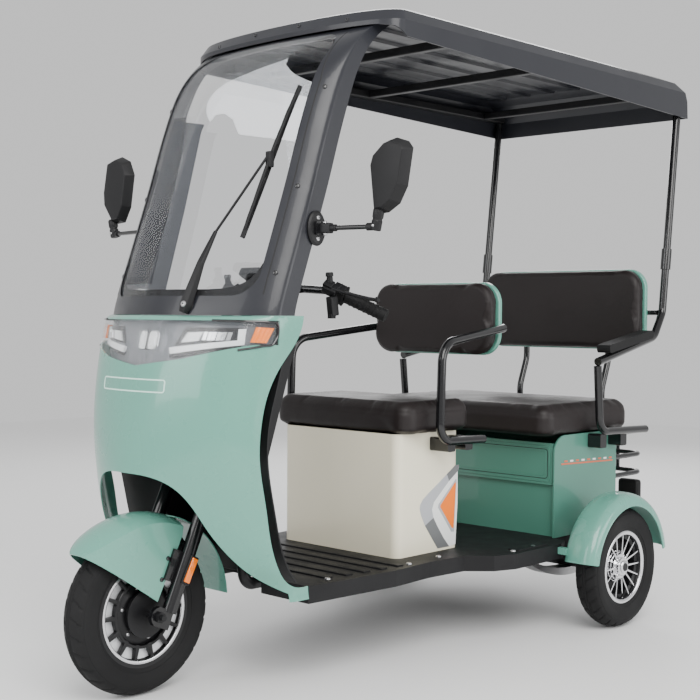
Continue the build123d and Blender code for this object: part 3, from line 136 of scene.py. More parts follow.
def leather(name, color):
    m = material(name, color, rough=0.46, spec=0.35, wear=0.06, tint=0.08)
    tree = m.node_tree
    shader = tree.nodes["Principled BSDF"]
    coords = tree.nodes["Texture Coordinate"]
    cells = tree.nodes.new("ShaderNodeTexVoronoi")
    cells.feature = "DISTANCE_TO_EDGE"
    cells.inputs["Scale"].default_value = 420.0
    tree.links.new(coords.outputs["Object"], cells.inputs["Vector"])
    cell_bump = bumps(tree, cells.outputs["Distance"], 0.35, 0.0006)
    soft_bump = bumps(tree, clouds(tree, coords, 60.0, 4.0), 0.2, 0.002)
    tree.links.new(cell_bump.outputs["Normal"], soft_bump.inputs["Normal"])
    tree.links.new(soft_bump.outputs["Normal"], shader.inputs["Normal"])
    return m


GREEN = material("sea green gloss plastic", (0.118, 0.335, 0.262), rough=0.28, coat=0.6, wear=0.04, tint=0.012)
GREEN_DARK = material("sea green panel plastic", (0.07, 0.215, 0.163), rough=0.34, coat=0.35, wear=0.04, tint=0.012)
CREAM = material("cream plastic", (0.87, 0.82, 0.64), rough=0.34, coat=0.25, wear=0.06, tint=0.02, grain=0.03,
                 grain_scale=60)
CANOPY = material("charcoal shell plastic", (0.016, 0.017, 0.022), rough=0.36, coat=0.18, spec=0.4, wear=0.07,
                  grain=0.05, grain_scale=220)
LINING = material("matt lining plastic", (0.024, 0.026, 0.033), rough=0.7, spec=0.25, wear=0.08, grain=0.1,
                  grain_scale=400)
GLOSS_BLACK = material("gloss black paint", (0.006, 0.006, 0.007), rough=0.2, coat=0.4, spec=0.4, wear=0.05)
BLACK_PLASTIC = material("black plastic", (0.008, 0.008, 0.009), rough=0.48, spec=0.35, wear=0.08, grain=0.16,
                         grain_scale=700)
FLOOR_BLACK = material("black floor plastic", (0.009, 0.009, 0.01), rough=0.56, spec=0.3, wear=0.1, grain=0.3,
                       grain_scale=500)
FRAME_BLACK = material("black frame paint", (0.008, 0.008, 0.009), rough=0.4, spec=0.35, wear=0.1, grain=0.05,
                       grain_scale=120)
TYRE = material("tyre rubber", (0.0075, 0.0075, 0.008), rough=0.7, spec=0.3, wear=0.08, tint=0.12, grain=0.25,
                grain_scale=500)
RUBBER = material("black rubber", (0.007, 0.007, 0.0075), rough=0.6, spec=0.3, wear=0.06, grain=0.2, grain_scale=600)
CHROME = material("polished wheel metal", (0.8, 0.8, 0.82), rough=0.14, metal=1.0, wear=0.07, grain=0.02,
                  grain_scale=90)
ALLOY = material("machined alloy", (0.72, 0.72, 0.74), rough=0.26, metal=1.0, wear=0.08, grain=0.05, grain_scale=300)
BLACK_WHEEL = material("black wheel paint", (0.007, 0.007, 0.008), rough=0.36, spec=0.4, wear=0.08, grain=0.08,
                       grain_scale=300)
STEEL = material("zinc steel", (0.5, 0.5, 0.51), rough=0.34, metal=1.0, wear=0.1, grain=0.05, grain_scale=200)
LEATHER = leather("dark seat leather", (0.0125, 0.009, 0.009))
SCREEN = material("clear screen sheet", (0.8, 0.86, 0.95), rough=0.015, transmission=1.0, ior=1.1, spec=0.35,
                  alpha=0.16)
LENS = material("lamp lens", (0.92, 0.94, 0.97), rough=0.03, transmission=0.9, ior=1.3, alpha=0.16, coat=0.4)
LAMP_BOWL = material("lamp bowl smoked plastic", (0.17, 0.18, 0.2), rough=0.28, coat=0.6, wear=0.06)
LAMP_DARK = material("lamp black bezel", (0.015, 0.015, 0.017), rough=0.2, coat=0.5)
LAMP_SILVER = material("lamp reflector", (0.84, 0.85, 0.87), rough=0.2, metal=1.0, wear=0.05)
DISH_SILVER = material("silver paint", (0.72, 0.73, 0.75), rough=0.38, metal=0.25, coat=0.3, wear=0.06)
LED_WHITE = material("lamp light guide", (0.86, 0.88, 0.9), rough=0.18, coat=0.6, emission=0.12)
AMBER = material("amber lens", (1.0, 0.21, 0.0), rough=0.14, coat=0.7, wear=0.03)
RED = material("red lens", (0.4, 0.012, 0.01), rough=0.16, coat=0.7)
DECAL_SILVER = material("silver decal film", (0.46, 0.47, 0.5), rough=0.35, metal=0.2, wear=0.05)
DECAL_GREY = material("grey decal film", (0.17, 0.175, 0.18), rough=0.35, metal=0.2, wear=0.05)
DECAL_ORANGE = material("orange decal film", (1.0, 0.2, 0.0), rough=0.35, wear=0.04)
DECAL_RED = material("red stripe film", (0.62, 0.13, 0.06), rough=0.38, wear=0.04)
BADGE_MINT = material("badge mint film", (0.62, 0.88, 0.78), rough=0.4, wear=0.04)
DECAL_PALE = material("pale decal film", (0.84, 0.85, 0.84), rough=0.38, wear=0.04)
MIRROR_GLASS = material("mirror glass", (0.82, 0.84, 0.85), rough=0.02, metal=1.0)
SEAL = material("matt black seal", (0.01, 0.01, 0.011), rough=0.7, grain=0.1, grain_scale=500)

PAINT = {
    "green_plastic": GREEN, "dark_green_plastic": GREEN_DARK, "cream_plastic": CREAM, "black_paint": GLOSS_BLACK,
    "frame_paint": FRAME_BLACK, "black_plastic": BLACK_PLASTIC, "canopy_plastic": CANOPY, "tyre_rubber": TYRE,
    "rubber": RUBBER, "wheel_metal": CHROME, "black_wheel": BLACK_WHEEL, "steel": STEEL, "seat_leather": LEATHER,
    "clear_lens": LENS, "screen_glass": SCREEN, "mirror_glass": MIRROR_GLASS, "red_lens": RED,
}
OWN_PAINT = {"floor_board": FLOOR_BLACK, "front_axle": FRAME_BLACK, "headlamp_housing": LAMP_BOWL,
             "inner_leg_shield": BLACK_PLASTIC, "rear_box_sides": GREEN_DARK, "rear_fenders": GREEN}
for entry in frame["record"]["subparts"]:
    node = NODES[entry["node"]]
    node.data.materials.clear()
    node.data.materials.append(OWN_PAINT.get(entry["node"], PAINT[entry["material_slot"]]))


# ------------------------ building blocks
def new_object(name, bm, mat, smooth=True, angle=35.0):
    mesh = bpy.data.meshes.new(name)
    bmesh.ops.recalc_face_normals(bm, faces=bm.faces[:])
    bm.to_mesh(mesh)
    bm.free()
    obj = bpy.data.objects.new(name, mesh)
    bpy.context.scene.collection.objects.link(obj)
    for m in (mat if isinstance(mat, (list, tuple)) else [mat]):
        mesh.materials.append(m)
    if smooth:
        mesh.shade_smooth()
        mesh.set_sharp_from_angle(angle=math.radians(angle))
    return obj


def skin(rows, around=True, ring=False):
    """Mesh through rows of points, open or closed around each row; its ends are closed unless the rows meet again."""
    bm = bmesh.new()
    rows = [[bm.verts.new(p) for p in row] for row in rows]
    count = len(rows[0])
    for a, b in zip(rows, rows[1:] + (rows[:1] if ring else [])):
        for i in range(count if around else count - 1):
            j = (i + 1) % count
            bm.faces.new((a[i], a[j], b[j], b[i]))
    if around and not ring:
        bm.faces.new(rows[0])
        bm.faces.new(rows[-1][::-1])
    return bm


def soften(bm, offset):
    """Rounds every edge."""
    bmesh.ops.bevel(bm, geom=bm.edges[:], offset=offset, segments=2, profile=0.6, affect="EDGES")


def quad(corners, m, n):
    """Grid of places between four corners."""
    a, b, c, d = map(Vector, corners)
    return [[a.lerp(b, i / m).lerp(d.lerp(c, i / m), j / n) for j in range(n + 1)] for i in range(m + 1)]


def slab(name, top, low, mat, angle):
    """Closed sheet between two grids of points."""
    bm = bmesh.new()
    top = [[bm.verts.new(p) for p in row] for row in top]
    low = [[bm.verts.new(p) for p in row] for row in low]
    m, n = len(top) - 1, len(top[0]) - 1
    for i in range(m):
        for j in range(n):
            bm.faces.new((top[i][j], top[i + 1][j], top[i + 1][j + 1], top[i][j + 1]))
            bm.faces.new((low[i][j], low[i][j + 1], low[i + 1][j + 1], low[i + 1][j]))
    border = [(i, 0) for i in range(m)] + [(m, j) for j in range(n)]
    border += [(i, n) for i in range(m, 0, -1)] + [(0, j) for j in range(n, 0, -1)]
    for (i, j), (k, l) in zip(border, border[1:] + border[:1]):
        bm.faces.new((top[i][j], low[i][j], low[k][l], top[k][l]))
    return new_object(name, bm, mat, angle=angle)


def join(name, parts):
    """Several objects as one, each keeping its material."""
    bpy.ops.object.select_all(action="DESELECT")
    for part in parts:
        part.select_set(True)
    bpy.context.view_layer.objects.active = parts[0]
    bpy.ops.object.join()
    parts[0].name = name
    return parts[0]


def lathe(name, profile, centre, axis, mat, segments=96, closed=False):
    """Revolves (along, radius) points about an axis direction through centre."""
    axis = Vector(axis).normalized()
    side = axis.orthogonal().normalized()
    up = axis.cross(side)
    rings = []
    for k in range(segments):
        turn = 2 * math.pi * k / segments
        spoke = side * math.cos(turn) + up * math.sin(turn)
        rings.append([centre + axis * a + spoke * r for a, r in profile])
    bm = skin(rings, closed, ring=True)
    bmesh.ops.remove_doubles(bm, verts=bm.verts[:], dist=1e-6)
    return new_object(name, bm, mat)


def rod(name, start, end, radius, mat, radius_end=None, segments=20):
    start, end = Vector(start), Vector(end)
    axis = end - start
    length = axis.length
    far = radius if radius_end is None else radius_end
    edge = min(radius, far) * 0.12
    profile = [(0, TIP), (0, radius - edge), (edge, radius), (length - edge, far), (length, far - edge),
               (length, TIP)]
    return lathe(name, profile, start, axis, mat, segments)


def tube(name, points, radius, mat, segments=12, smooth_steps=8):
    """Round bar through points on a smooth curve, as a mesh."""
    pts = [Vector(p) for p in points]
    route = []
    for i in range(len(pts) - 1):
        p0, p1, p2, p3 = pts[max(i - 1, 0)], pts[i], pts[i + 1], pts[min(i + 2, len(pts) - 1)]
        for s in range(smooth_steps):
            t = s / smooth_steps
            route.append(0.5 * ((2 * p1) + (p2 - p0) * t + (2 * p0 - 5 * p1 + 4 * p2 - p3) * t * t
                                + (3 * p1 - p0 - 3 * p2 + p3) * t * t * t))
    route.append(pts[-1])
    rings = []
    heading = (route[1] - route[0]).normalized()
    side = heading.orthogonal().normalized()
    for i, p in enumerate(route):
        ahead = (route[min(i + 1, len(route) - 1)] - route[max(i - 1, 0)]).normalized()
        side = (side - ahead * side.dot(ahead)).normalized()
        up = ahead.cross(side)
        turns = [2 * math.pi * k / segments for k in range(segments)]
        rings.append([p + (side * math.cos(a) + up * math.sin(a)) * radius for a in turns])
    return new_object(name, skin(rings), mat)


def block(name, centre, size, mat, bevel=0.003, rotation=None, segments=3):
    bm = bmesh.new()
    bmesh.ops.create_cube(bm, size=1.0)
    bmesh.ops.scale(bm, vec=Vector(size), verts=bm.verts[:])
    if bevel:
        bmesh.ops.bevel(bm, geom=bm.edges[:], offset=bevel, segments=segments, profile=0.6, affect="EDGES")
    if rotation is not None:
        bmesh.ops.rotate(bm, cent=(0, 0, 0), matrix=rotation, verts=bm.verts[:])
    bmesh.ops.translate(bm, vec=Vector(centre), verts=bm.verts[:])
    return new_object(name, bm, mat)


def plate(name, outline, thickness, mat, bevel=0.0):
    """Flat piece from points in space, thickened along its normal by thickness to both sides in half."""
    bm = bmesh.new()
    verts = [bm.verts.new(p) for p in outline]
    face = bm.faces.new(verts)
    bm.normal_update()
    normal = face.normal.copy()
    bmesh.ops.translate(bm, vec=-normal * thickness / 2, verts=bm.verts[:])
    grown = bmesh.ops.extrude_face_region(bm, geom=[face])
    bmesh.ops.translate(bm, vec=normal * thickness, verts=[v for v in grown["geom"] if isinstance(v,
            bmesh.types.BMVert)])
    if bevel:
        soften(bm, bevel)
    return new_object(name, bm, mat)


def screw(name, place, outward, radius=0.006, mat=None, height=0.003):
    """Domed screw head with a round socket."""
    outward = Vector(outward).normalized()
    profile = [(-0.001, radius), (0.0, radius), (height * 0.6, radius * 0.86), (height, radius * 0.5),
               (height, radius * 0.34), (height * 0.3, radius * 0.32), (height * 0.3, TIP)]
    return lathe(name, profile, Vector(place), outward, mat or LAMP_DARK, 20)


def rounded_rect(width, height, radius, steps=6):
    """Outline of a rectangle with round corners, about its middle."""
    x, y = width / 2 - radius, height / 2 - radius
    points = []
    for cx, cy, start in ((x, y, 0), (-x, y, 90), (-x, -y, 180), (x, -y, 270)):
        for k in range(steps + 1):
            a = math.radians(start + 90 * k / steps)
            points.append((cx + radius * math.cos(a), cy + radius * math.sin(a)))
    return points


_surface = {}


def surface(node):
    """Search tree of a CAD node's faces."""
    if node not in _surface:
        mesh = NODES[node].data
        _surface[node] = BVHTree.FromPolygons([v.co.copy() for v in mesh.vertices],
                                              [tuple(p.vertices) for p in mesh.polygons])
    return _surface[node]


def hit(node, origin, direction):
    """Point and normal where a ray meets a CAD node."""
    found = surface(node).ray_cast(Vector(origin), Vector(direction).normalized())
    return (found[0], found[1]) if found[0] is not None else (None, None)


def from_ahead(node, y, z):
    """Point and normal of a CAD node seen from straight ahead."""
    return hit(node, (FAR_AHEAD, y, z), (-1, 0, 0))


def from_side(node, x, side, z):
    """Point and normal of a CAD node seen from its side, x ahead of the rear axle."""
    return hit(node, (at(x, 0, 0).x, side * FAR_ASIDE, z), (0, -side, 0))


# ------------------------ tyres and wheels
TYRE_SEGMENTS, TREAD_BLOCKS = 480, 30
TREAD_HALF, TREAD_CROWN = 0.0325, 0.0112  # half width of the tread and its fall to the shoulder
GROOVE, CENTRE_GROOVE = 0.0027, 0.003  # depths


def tyre(name, centre, outer, rim, lean):
    """Tyre with bead, sidewall rings and curved tread grooves."""
    belly = (outer + rim) / 2 + 0.002
    half = [(0.0265, rim + 0.001), (0.0285, rim + 0.004), (0.0292, rim + 0.008), (0.0305, rim + 0.01),
            (0.0338, rim + 0.017), (0.0345, rim + 0.0195), (0.036, rim + 0.0205), (0.0388, belly - 0.003),
            (0.0399, belly + 0.004), (0.0396, outer - 0.026), (0.0386, outer - 0.0215), (0.0372, outer - 0.0205),
            (0.036, outer - 0.0165), (0.0338, outer - 0.0125)]
    crown = []
    for k in range(17):
        a = TREAD_HALF * (1 - k / 8)
        crown.append((a, outer - TREAD_CROWN * (abs(a) / TREAD_HALF) ** 2.1))
    profile = half + crown + [(-a, r) for a, r in reversed(half)]
    profile += [(-0.0235, rim + 0.004), (-0.0235, rim + 0.012), (0.0235, rim + 0.012), (0.0235, rim + 0.004)]
    rings = []
    for k in range(TYRE_SEGMENTS):
        turn = 2 * math.pi * k / TYRE_SEGMENTS
        ring = []
        for a, r in profile:
            cut = 0.0
            if r > outer - 0.0135:
                across = abs(a)
                phase = (k / TYRE_SEGMENTS * TREAD_BLOCKS + lean * math.copysign(across ** 1.3 * 42.0,
                        a) + (0.5 if a < 0 else 0.0)) % 1.0
                if across > 0.006 and abs(phase - 0.5) < 0.09:
                    cut = GROOVE
                if 0.003 < across < 0.0062:
                    cut = CENTRE_GROOVE
            radius = r - cut
            ring.append(centre + Vector((radius * math.cos(turn), a, radius * math.sin(turn))))
        rings.append(ring)
    return new_object(name, skin(rings, ring=True), TYRE, angle=32.0)


def ring_of(name, centre, count, make, start=0.0):
    """Copies of one bar around the wheel axis, joined."""
    parts = []
    for k in range(count):
        bar = make(k)
        bar.data.transform(Matrix.Translation(centre) @ Matrix.Rotation(start + 2 * math.pi * k / count, 4, "Y"))
        parts.append(bar)
    return join(name, parts)


def spoke_bar(name, inner, outer, y_inner, y_outer, width_inner, width_outer, depth, mat, bevel=0.0015):
    """Tapered bar along +X from the hub to the rim."""
    ends = [[(x, y - depth / 2, -w / 2), (x, y + depth / 2, -w / 2), (x, y + depth / 2, w / 2),
             (x, y - depth / 2, w / 2)] for x, y, w in ((inner, y_inner, width_inner), (outer, y_outer, width_outer))]
    bm = skin(ends)
    bmesh.ops.recalc_face_normals(bm, faces=bm.faces[:])
    soften(bm, bevel)
    return new_object(name, bm, mat)


def barrel(name, centre, rim, mat, half=0.03):
    """Rim well with two rolled flanges."""
    outer = [(half, rim + 0.009), (half + 0.0004, rim + 0.0105), (half - 0.0006, rim + 0.0112),
             (half - 0.002, rim + 0.01), (half - 0.003, rim + 0.001), (half - 0.006, rim - 0.0002),
             (0.015, rim - 0.002), (0.011, rim - 0.012)]
    profile = outer + [(-a, r) for a, r in reversed(outer)]
    inner = [(-half + 0.0001, rim - 0.001), (-half + 0.006, rim - 0.0045), (-0.016, rim - 0.006),
             (-0.012, rim - 0.015)]
    profile += inner + [(-a, r) for a, r in reversed(inner)]
    return lathe(name, profile, centre, AXLE, mat, 128, closed=True)


front_tyre = tyre("front_tyre_detail", FRONT, FRONT_TYRE_R, FRONT_RIM_R, 1.0)
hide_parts("front_tyre")
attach(front_tyre, "front_wheel_set")

wheel = [barrel("front_barrel", FRONT, FRONT_RIM_R, BLACK_WHEEL)]
add = wheel.append
for side in (1, -1):
    add(lathe("front_polished_ring", [(side * 0.0301, 0.1265), (side * 0.0304, 0.125), (side * 0.0304, 0.12),
                                      (side * 0.0296, 0.1188), (side * 0.0262, 0.117), (side * 0.0255, 0.118),
                                      (side * 0.0262, 0.125)], FRONT, AXLE, ALLOY, 128, closed=True))
    add(lathe("front_dish", [(side * 0.006, 0.1165), (side * 0.015, 0.1165), (side * 0.0125, 0.1),
                             (side * 0.0125, 0.086), (side * 0.006, 0.086)], FRONT, AXLE, DISH_SILVER, 96,
              closed=True))
    add(ring_of("front_spokes", FRONT, 14, lambda k: spoke_bar("front_spoke", 0.08, 0.1195, side * 0.0215,
                                                               side * 0.0225, 0.0125, 0.0085, 0.013, BLACK_WHEEL)))
    add(lathe("front_spoke_ring", [(side * 0.027, 0.089), (side * 0.0285, 0.087), (side * 0.0285, 0.082),
                                   (side * 0.016, 0.08), (side * 0.016, 0.09)], FRONT, AXLE, BLACK_WHEEL, 96,
              closed=True))
hub = mm((-29, 0), (-29, 24), (-28.2, 26), (-25, 30), (-24.5, 56), (-23.2, 60), (-21.5, 78), (-20, 80), (20, 80),
         (21.5, 78), (23.2, 60), (24.5, 56), (25, 30), (28.2, 26), (29, 24), (29, 0))
add(lathe("front_drum", hub, FRONT, AXLE, BLACK_WHEEL, 96))
for k in range(6):
    a = math.radians(60 * k + 15)
    for side in (1, -1):
        add(screw("drum_screw", FRONT + Vector((0.066 * math.cos(a), side * 0.0226, 0.066 * math.sin(a))),
                  (0, side, 0), 0.0055, STEEL, 0.0035))
front_wheel = join("front_wheel_detail", wheel)
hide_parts("front_wheel")
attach(front_wheel, "front_wheel_set")

for side, sign in (("left", 1), ("right", -1)):
    middle = Vector((REAR.x, sign * REAR.y, REAR.z))
    rear_tyre = tyre(f"rear_tyre_{side}_detail", middle, REAR_TYRE_R, REAR_RIM_R, -1.0 * sign)
    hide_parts(f"rear_tyre_{side}")
    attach(rear_tyre, f"rear_{side}_wheel_set")
    parts = [barrel("rear_barrel", middle, REAR_RIM_R, BLACK_WHEEL)]
    add = parts.append
    for face in (1, -1):
        s = sign * face
        add(lathe("rear_lip", [(s * 0.0303, 0.112), (s * 0.0312, 0.1112), (s * 0.0322, 0.1085), (s * 0.0318, 0.104),
                               (s * 0.0296, 0.1), (s * 0.024, 0.0978), (s * 0.024, 0.099), (s * 0.029, 0.103),
                               (s * 0.03, 0.11)], middle, AXLE, CHROME, 128, closed=True))
    s = sign
    add(lathe("rear_well", [(s * -0.022, 0.0), (s * -0.022, 0.095), (s * -0.018, 0.0968), (s * 0.01, 0.0968),
                            (s * 0.01, 0.094), (s * -0.014, 0.092), (s * -0.015, 0.0)], middle, AXLE, BLACK_WHEEL,
              96))
    add(ring_of("rear_spokes", middle, 16, lambda k: spoke_bar("rear_spoke", 0.038, 0.0975,
                                                               s * (0.013 if k % 2 else 0.019), s * 0.0225, 0.0062,
                                                               0.004, 0.0035, CHROME, 0.0009)))
    cap = mm((-17, 0), (-17, 50), (-8, 50.5), (-2, 50), (0.5, 48), (1, 45.5), (5.5, 45), (7.5, 43.5), (8, 40),
             (13.5, 39.5), (15.5, 38), (16, 29), (24.5, 28.5), (26.2, 27), (26.8, 20), (30, 19.5), (31.8, 17),
             (32.2, 9), (32.2, 0))
    add(lathe("rear_hub_cap", [(s * a, r) for a, r in cap], middle, AXLE, CHROME, 96))
    add(lathe("rear_drum", [(s * -0.034, 0.0), (s * -0.034, 0.062), (s * -0.032, 0.065), (s * -0.0225, 0.066),
                            (s * -0.0225, 0.0)], middle, AXLE, BLACK_WHEEL, 96))
    for k in range(4):
        a = math.radians(90 * k + 45)
        add(screw("lug_nut", middle + Vector((0.0335 * math.cos(a), s * 0.0158, 0.0335 * math.sin(a))), (0, s, 0),
                  0.0052, CHROME, 0.006))
    add(rod("valve", middle + Vector((0.0, s * 0.02, -0.096)), middle + Vector((0.0, s * 0.03, -0.078)), 0.0028,
            RUBBER))
    rear_wheel = join(f"rear_wheel_{side}_detail", parts)
    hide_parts(f"rear_wheel_{side}")
    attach(rear_wheel, f"rear_{side}_wheel_set")


# ------------------------ cushions and backrests
CLOTH_FRAMES = 20
BOX_PLAY = 0.0005  # how far a swollen cover may pass its CAD box
SEAM_DEPTH, SEAM_WIDTH, SEAM_REACH = 0.0022, 0.0035, 0.86  # reach: share of the half size where the side face starts


def cushion(name, node, voxel, cap, thin, seam_axis, seam_side, pull=0.0, pressure=4.0):
    """Inflated copy of a CAD pad: thinner at first, remeshed, swollen by cloth, capped, with a seam pressed in."""
    source = NODES[node]
    mesh = source.data.copy()
    pad = bpy.data.objects.new(name, mesh)
    bpy.context.scene.collection.objects.link(pad)
    low, high = map(Vector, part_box(node))
    middle, size = (low + high) / 2, high - low
    for v in mesh.vertices:
        rel = v.co - middle
        for i in range(3):
            v.co[i] = middle[i] + rel[i] * max(0.05, (size[i] - 2 * thin[i]) / size[i])
    remesh = pad.modifiers.new("remesh", "REMESH")
    remesh.mode = "VOXEL"
    remesh.voxel_size = voxel
    bpy.context.view_layer.objects.active = pad
    bpy.ops.object.select_all(action="DESELECT")
    pad.select_set(True)
    bpy.ops.object.modifier_apply(modifier=remesh.name)
    rest = [v.co.copy() for v in pad.data.vertices]
    cloth = pad.modifiers.new("cloth", "CLOTH")
    settings = cloth.settings
    for setting, value in (("quality", 5), ("mass", 0.3), ("tension_stiffness", 12),
                           ("compression_stiffness", 12), ("shear_stiffness", 6), ("bending_stiffness", 0.6),
                           ("use_pressure", True), ("uniform_pressure_force", pressure)):
        setattr(settings, setting, value)
    settings.effector_weights.gravity = 0.0
    cloth.collision_settings.use_collision = False
    cloth.point_cache.frame_start = 1
    cloth.point_cache.frame_end = CLOTH_FRAMES
    scene = bpy.context.scene
    for number in range(1, CLOTH_FRAMES + 1):
        scene.frame_set(number)
    bpy.ops.object.modifier_apply(modifier=cloth.name)
    scene.frame_set(1)
    mesh = pad.data
    for v, home in zip(mesh.vertices, rest):
        move = v.co - home
        if move.length > cap:
            move *= cap / move.length
        v.co = home + move
    for v in mesh.vertices:
        for i in range(3):
            v.co[i] = min(max(v.co[i], low[i] - BOX_PLAY), high[i] + BOX_PLAY)
    seam(mesh, low, high, seam_axis, seam_side, pull)
    sub = pad.modifiers.new("subdivision", "SUBSURF")
    sub.levels = sub.render_levels = 1
    bpy.ops.object.modifier_apply(modifier=sub.name)
    pad.data.materials.clear()
    pad.data.materials.append(LEATHER)
    pad.data.shade_smooth()
    return pad


def seam(mesh, low, high, axis, side, pull):
    """Shallow sewn line a little below the top edge, with soft creases running from it."""
    middle = (low + high) / 2
    across = [i for i in range(3) if i != axis]
    for v in mesh.vertices:
        gap = v.co[axis] - side
        depth = SEAM_DEPTH * math.exp(-(gap / SEAM_WIDTH) ** 2)
        away = Vector((0, 0, 0))
        for i in across:
            edge = (v.co[i] - middle[i]) / ((high[i] - low[i]) / 2)
            if abs(edge) > SEAM_REACH:
                away[i] = math.copysign(1, edge)
        if away.length:
            v.co -= away.normalized() * depth
        if pull:
            fold = noise.noise(v.co * 16.0) * 0.6 + noise.noise(v.co * 38.0) * 0.25
            v.co += (v.co - middle).normalized() * fold * pull


for node, body, voxel, cap, thin, axis, level in (
        ("front_seat_cushion", "front_seat_lid", 0.006, 0.01, (0.003, 0.003, 0.005), 2, 0.03),
        ("rear_seat_cushion", "rear_seat_lid", 0.0075, 0.01, (0.003, 0.003, 0.005), 2, 0.03),
        ("front_backrest_pad", "chassis", 0.005, 0.009, (0.004, 0.0, 0.0), 0, 0.016),
        ("rear_backrest_pad", "chassis", 0.006, 0.009, (0.004, 0.0, 0.0), 0, 0.016)):
    low, high = map(Vector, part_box(node))
    pad = cushion(f"{node}_cover", node, voxel, cap, thin, axis, high[axis] - level
                  if axis == 2 else low[axis] + level, 0.0016)
    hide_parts(node)
    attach(pad, body)


# ------------------------ headlamp
def patch(name, corners, mat, depth, thickness, steps=(8, 4), node="headlamp_lens"):
    """Sheet through four corners (y, z), following a face at a depth under it, with its own thickness."""
    grid = []
    for line in quad(corners, *steps):
        row = []
        for p in line:
            place, normal = from_ahead(node, p.x, p.y)
            if place is None:
                outward = math.copysign(1, p.x)
                place, normal = hit(node, (NEAR_AHEAD, outward * FAR_ASIDE, p.y), (0, -outward, 0))
            row.append((place - normal * depth, normal))
        grid.append(row)
    under = [[p - n * thickness for p, n in row] for row in grid]
    return slab(name, [[p for p, n in row] for row in grid], under, mat, 50)


lamp_parts = []
add = lamp_parts.append
for side in (1, -1):
    def flip(points):
        return [(side * y, z) for y, z in points]
    # black upper bezel over the lamp bar, bright bar in two halves, and the white guide that turns up at its end
    for name, corners, mat, lift, thick, steps in (("bar_bezel", ((0.124, 0.922), (0.268, 0.922), (0.256, 0.892),
                                                                  (0.098, 0.877)), LAMP_DARK, 0.0015, 0.006, (8, 4)),
                                                   ("bar_white", ((0.136, 0.909), (0.178, 0.911), (0.168, 0.889),
                                                                  (0.12, 0.884)), LED_WHITE, 0.0055, 0.004, (8, 4)),
                                                   ("guide_low", ((0.088, 0.87), (0.259, 0.8915), (0.266, 0.88),
                                                                  (0.095, 0.8545)), LED_WHITE, 0.008, 0.007, (14, 3)),
                                                   ("guide_shade", ((0.088, 0.858), (0.262, 0.882), (0.262, 0.872),
                                                                    (0.094, 0.845)), LAMP_DARK, 0.003, 0.004,
                                                    (14, 3)), ("guide_up", ((0.256, 0.918), (0.269, 0.919),
            (0.268, 0.88), (0.256, 0.885)), LED_WHITE, 0.008, 0.007, (4, 8))):
        add(patch(name, flip(corners), mat, -lift, thick, steps, node="headlamp_housing"))
    for k in range(6):
        a, b = 0.181 + 0.011 * k, 0.1905 + 0.011 * k
        add(patch("bar_facet", flip([(a, 0.911), (b, 0.911), (b - 0.004, 0.8915), (a - 0.004, 0.8905)]), LAMP_SILVER,
                                -0.005 + 0.0022 * (k % 2), 0.004, (3, 3), node="headlamp_housing"))
    # amber corner light, on the turned-back end of the lens
    corners = [(1.338, 0.925), (1.296, 0.922), (1.316, 0.886), (1.352, 0.888)]
    sheets = [[from_side("headlamp_lens", p.x, side, p.y) for p in line] for line in quad(corners, 8, 5)]
    top = [[p - n * (0.0035 + 0.0012 * (k % 2)) for p, n in row] for k, row in enumerate(sheets)]
    low = [[p - n * 0.009 for p, n in row] for row in sheets]
    add(slab("amber_corner", top, low, AMBER, 20))

# centre lamp: black rounded surround, silver bowl, two bright blocks with a dark split
CENTRE_LAMP_Z, CENTRE_LAMP_DEPTH = 0.8935, 0.012
face, tilt = from_ahead("headlamp_lens", 0.0, CENTRE_LAMP_Z)
facing = Matrix.Rotation(math.atan2(tilt.z, tilt.x), 4, Vector((0, -1, 0)))
middle = face - tilt * CENTRE_LAMP_DEPTH - tilt * 0.002


def on_lamp(y, z, depth):
    return middle + (facing @ Vector((-depth, y, z)))


for name, width, height, radius, depth, thick, mat in (
        ("centre_surround", 0.104, 0.066, 0.02, 0.02, 0.012, LAMP_DARK),
        ("centre_bowl", 0.08, 0.056, 0.018, 0.0165, 0.01, LAMP_SILVER)):
    outline = [on_lamp(y, z, depth) for y, z in rounded_rect(width, height, radius)]
    add(plate(name, outline, thick, mat, 0.001))
for side in (1, -1):
    outline = [on_lamp(side * 0.0175 + y, z, 0.0115) for y, z in rounded_rect(0.029, 0.046, 0.009)]
    add(plate("centre_block", outline, 0.01, LED_WHITE, 0.0025))
add(plate("centre_split", [on_lamp(y, z, 0.0085) for y, z in rounded_rect(0.0045, 0.05, 0.002)], 0.008, LAMP_DARK))
lamp = join("headlamp_inside", lamp_parts)
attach(lamp, "chassis")


# ------------------------ badge outline, decals, door lines, screws, floor ribs
def strip_on(name, node, points, width, mat, lift=0.0006, thick=0.0012, closed=True, cast=None):
    """Thin raised band along a line of (y, z) points laid on a node seen from the front."""
    places = []
    for y, z in points:
        place, normal = cast(y, z) if cast else from_ahead(node, y, z)
        places.append((place, normal))
    rows = []
    count = len(places)
    for i, (p, n) in enumerate(places):
        before = places[i - 1][0] if (closed or i) else p
        after = places[(i + 1) % count][0] if (closed or i < count - 1) else p
        across = (after - before).normalized().cross(n).normalized() * width / 2
        foot = n * (lift - thick)
        rows.append([p + across + foot, p + across * 0.8 + n * lift, p - across * 0.8 + n * lift, p - across + foot])
    return new_object(name, skin(rows, around=False, ring=closed), mat)


def dense(points, closed=True, step=0.006):
    """Points of a line at an even spacing."""
    out = []
    ends = points[1:] + ([points[0]] if closed else [])
    for a, b in zip(points, ends):
        count = max(1, int(math.dist(a, b) / step))
        out += [tuple(a[i] + (b[i] - a[i]) * k / count for i in range(len(a))) for k in range(count)]
    if not closed:
        out.append(points[-1])
    return out


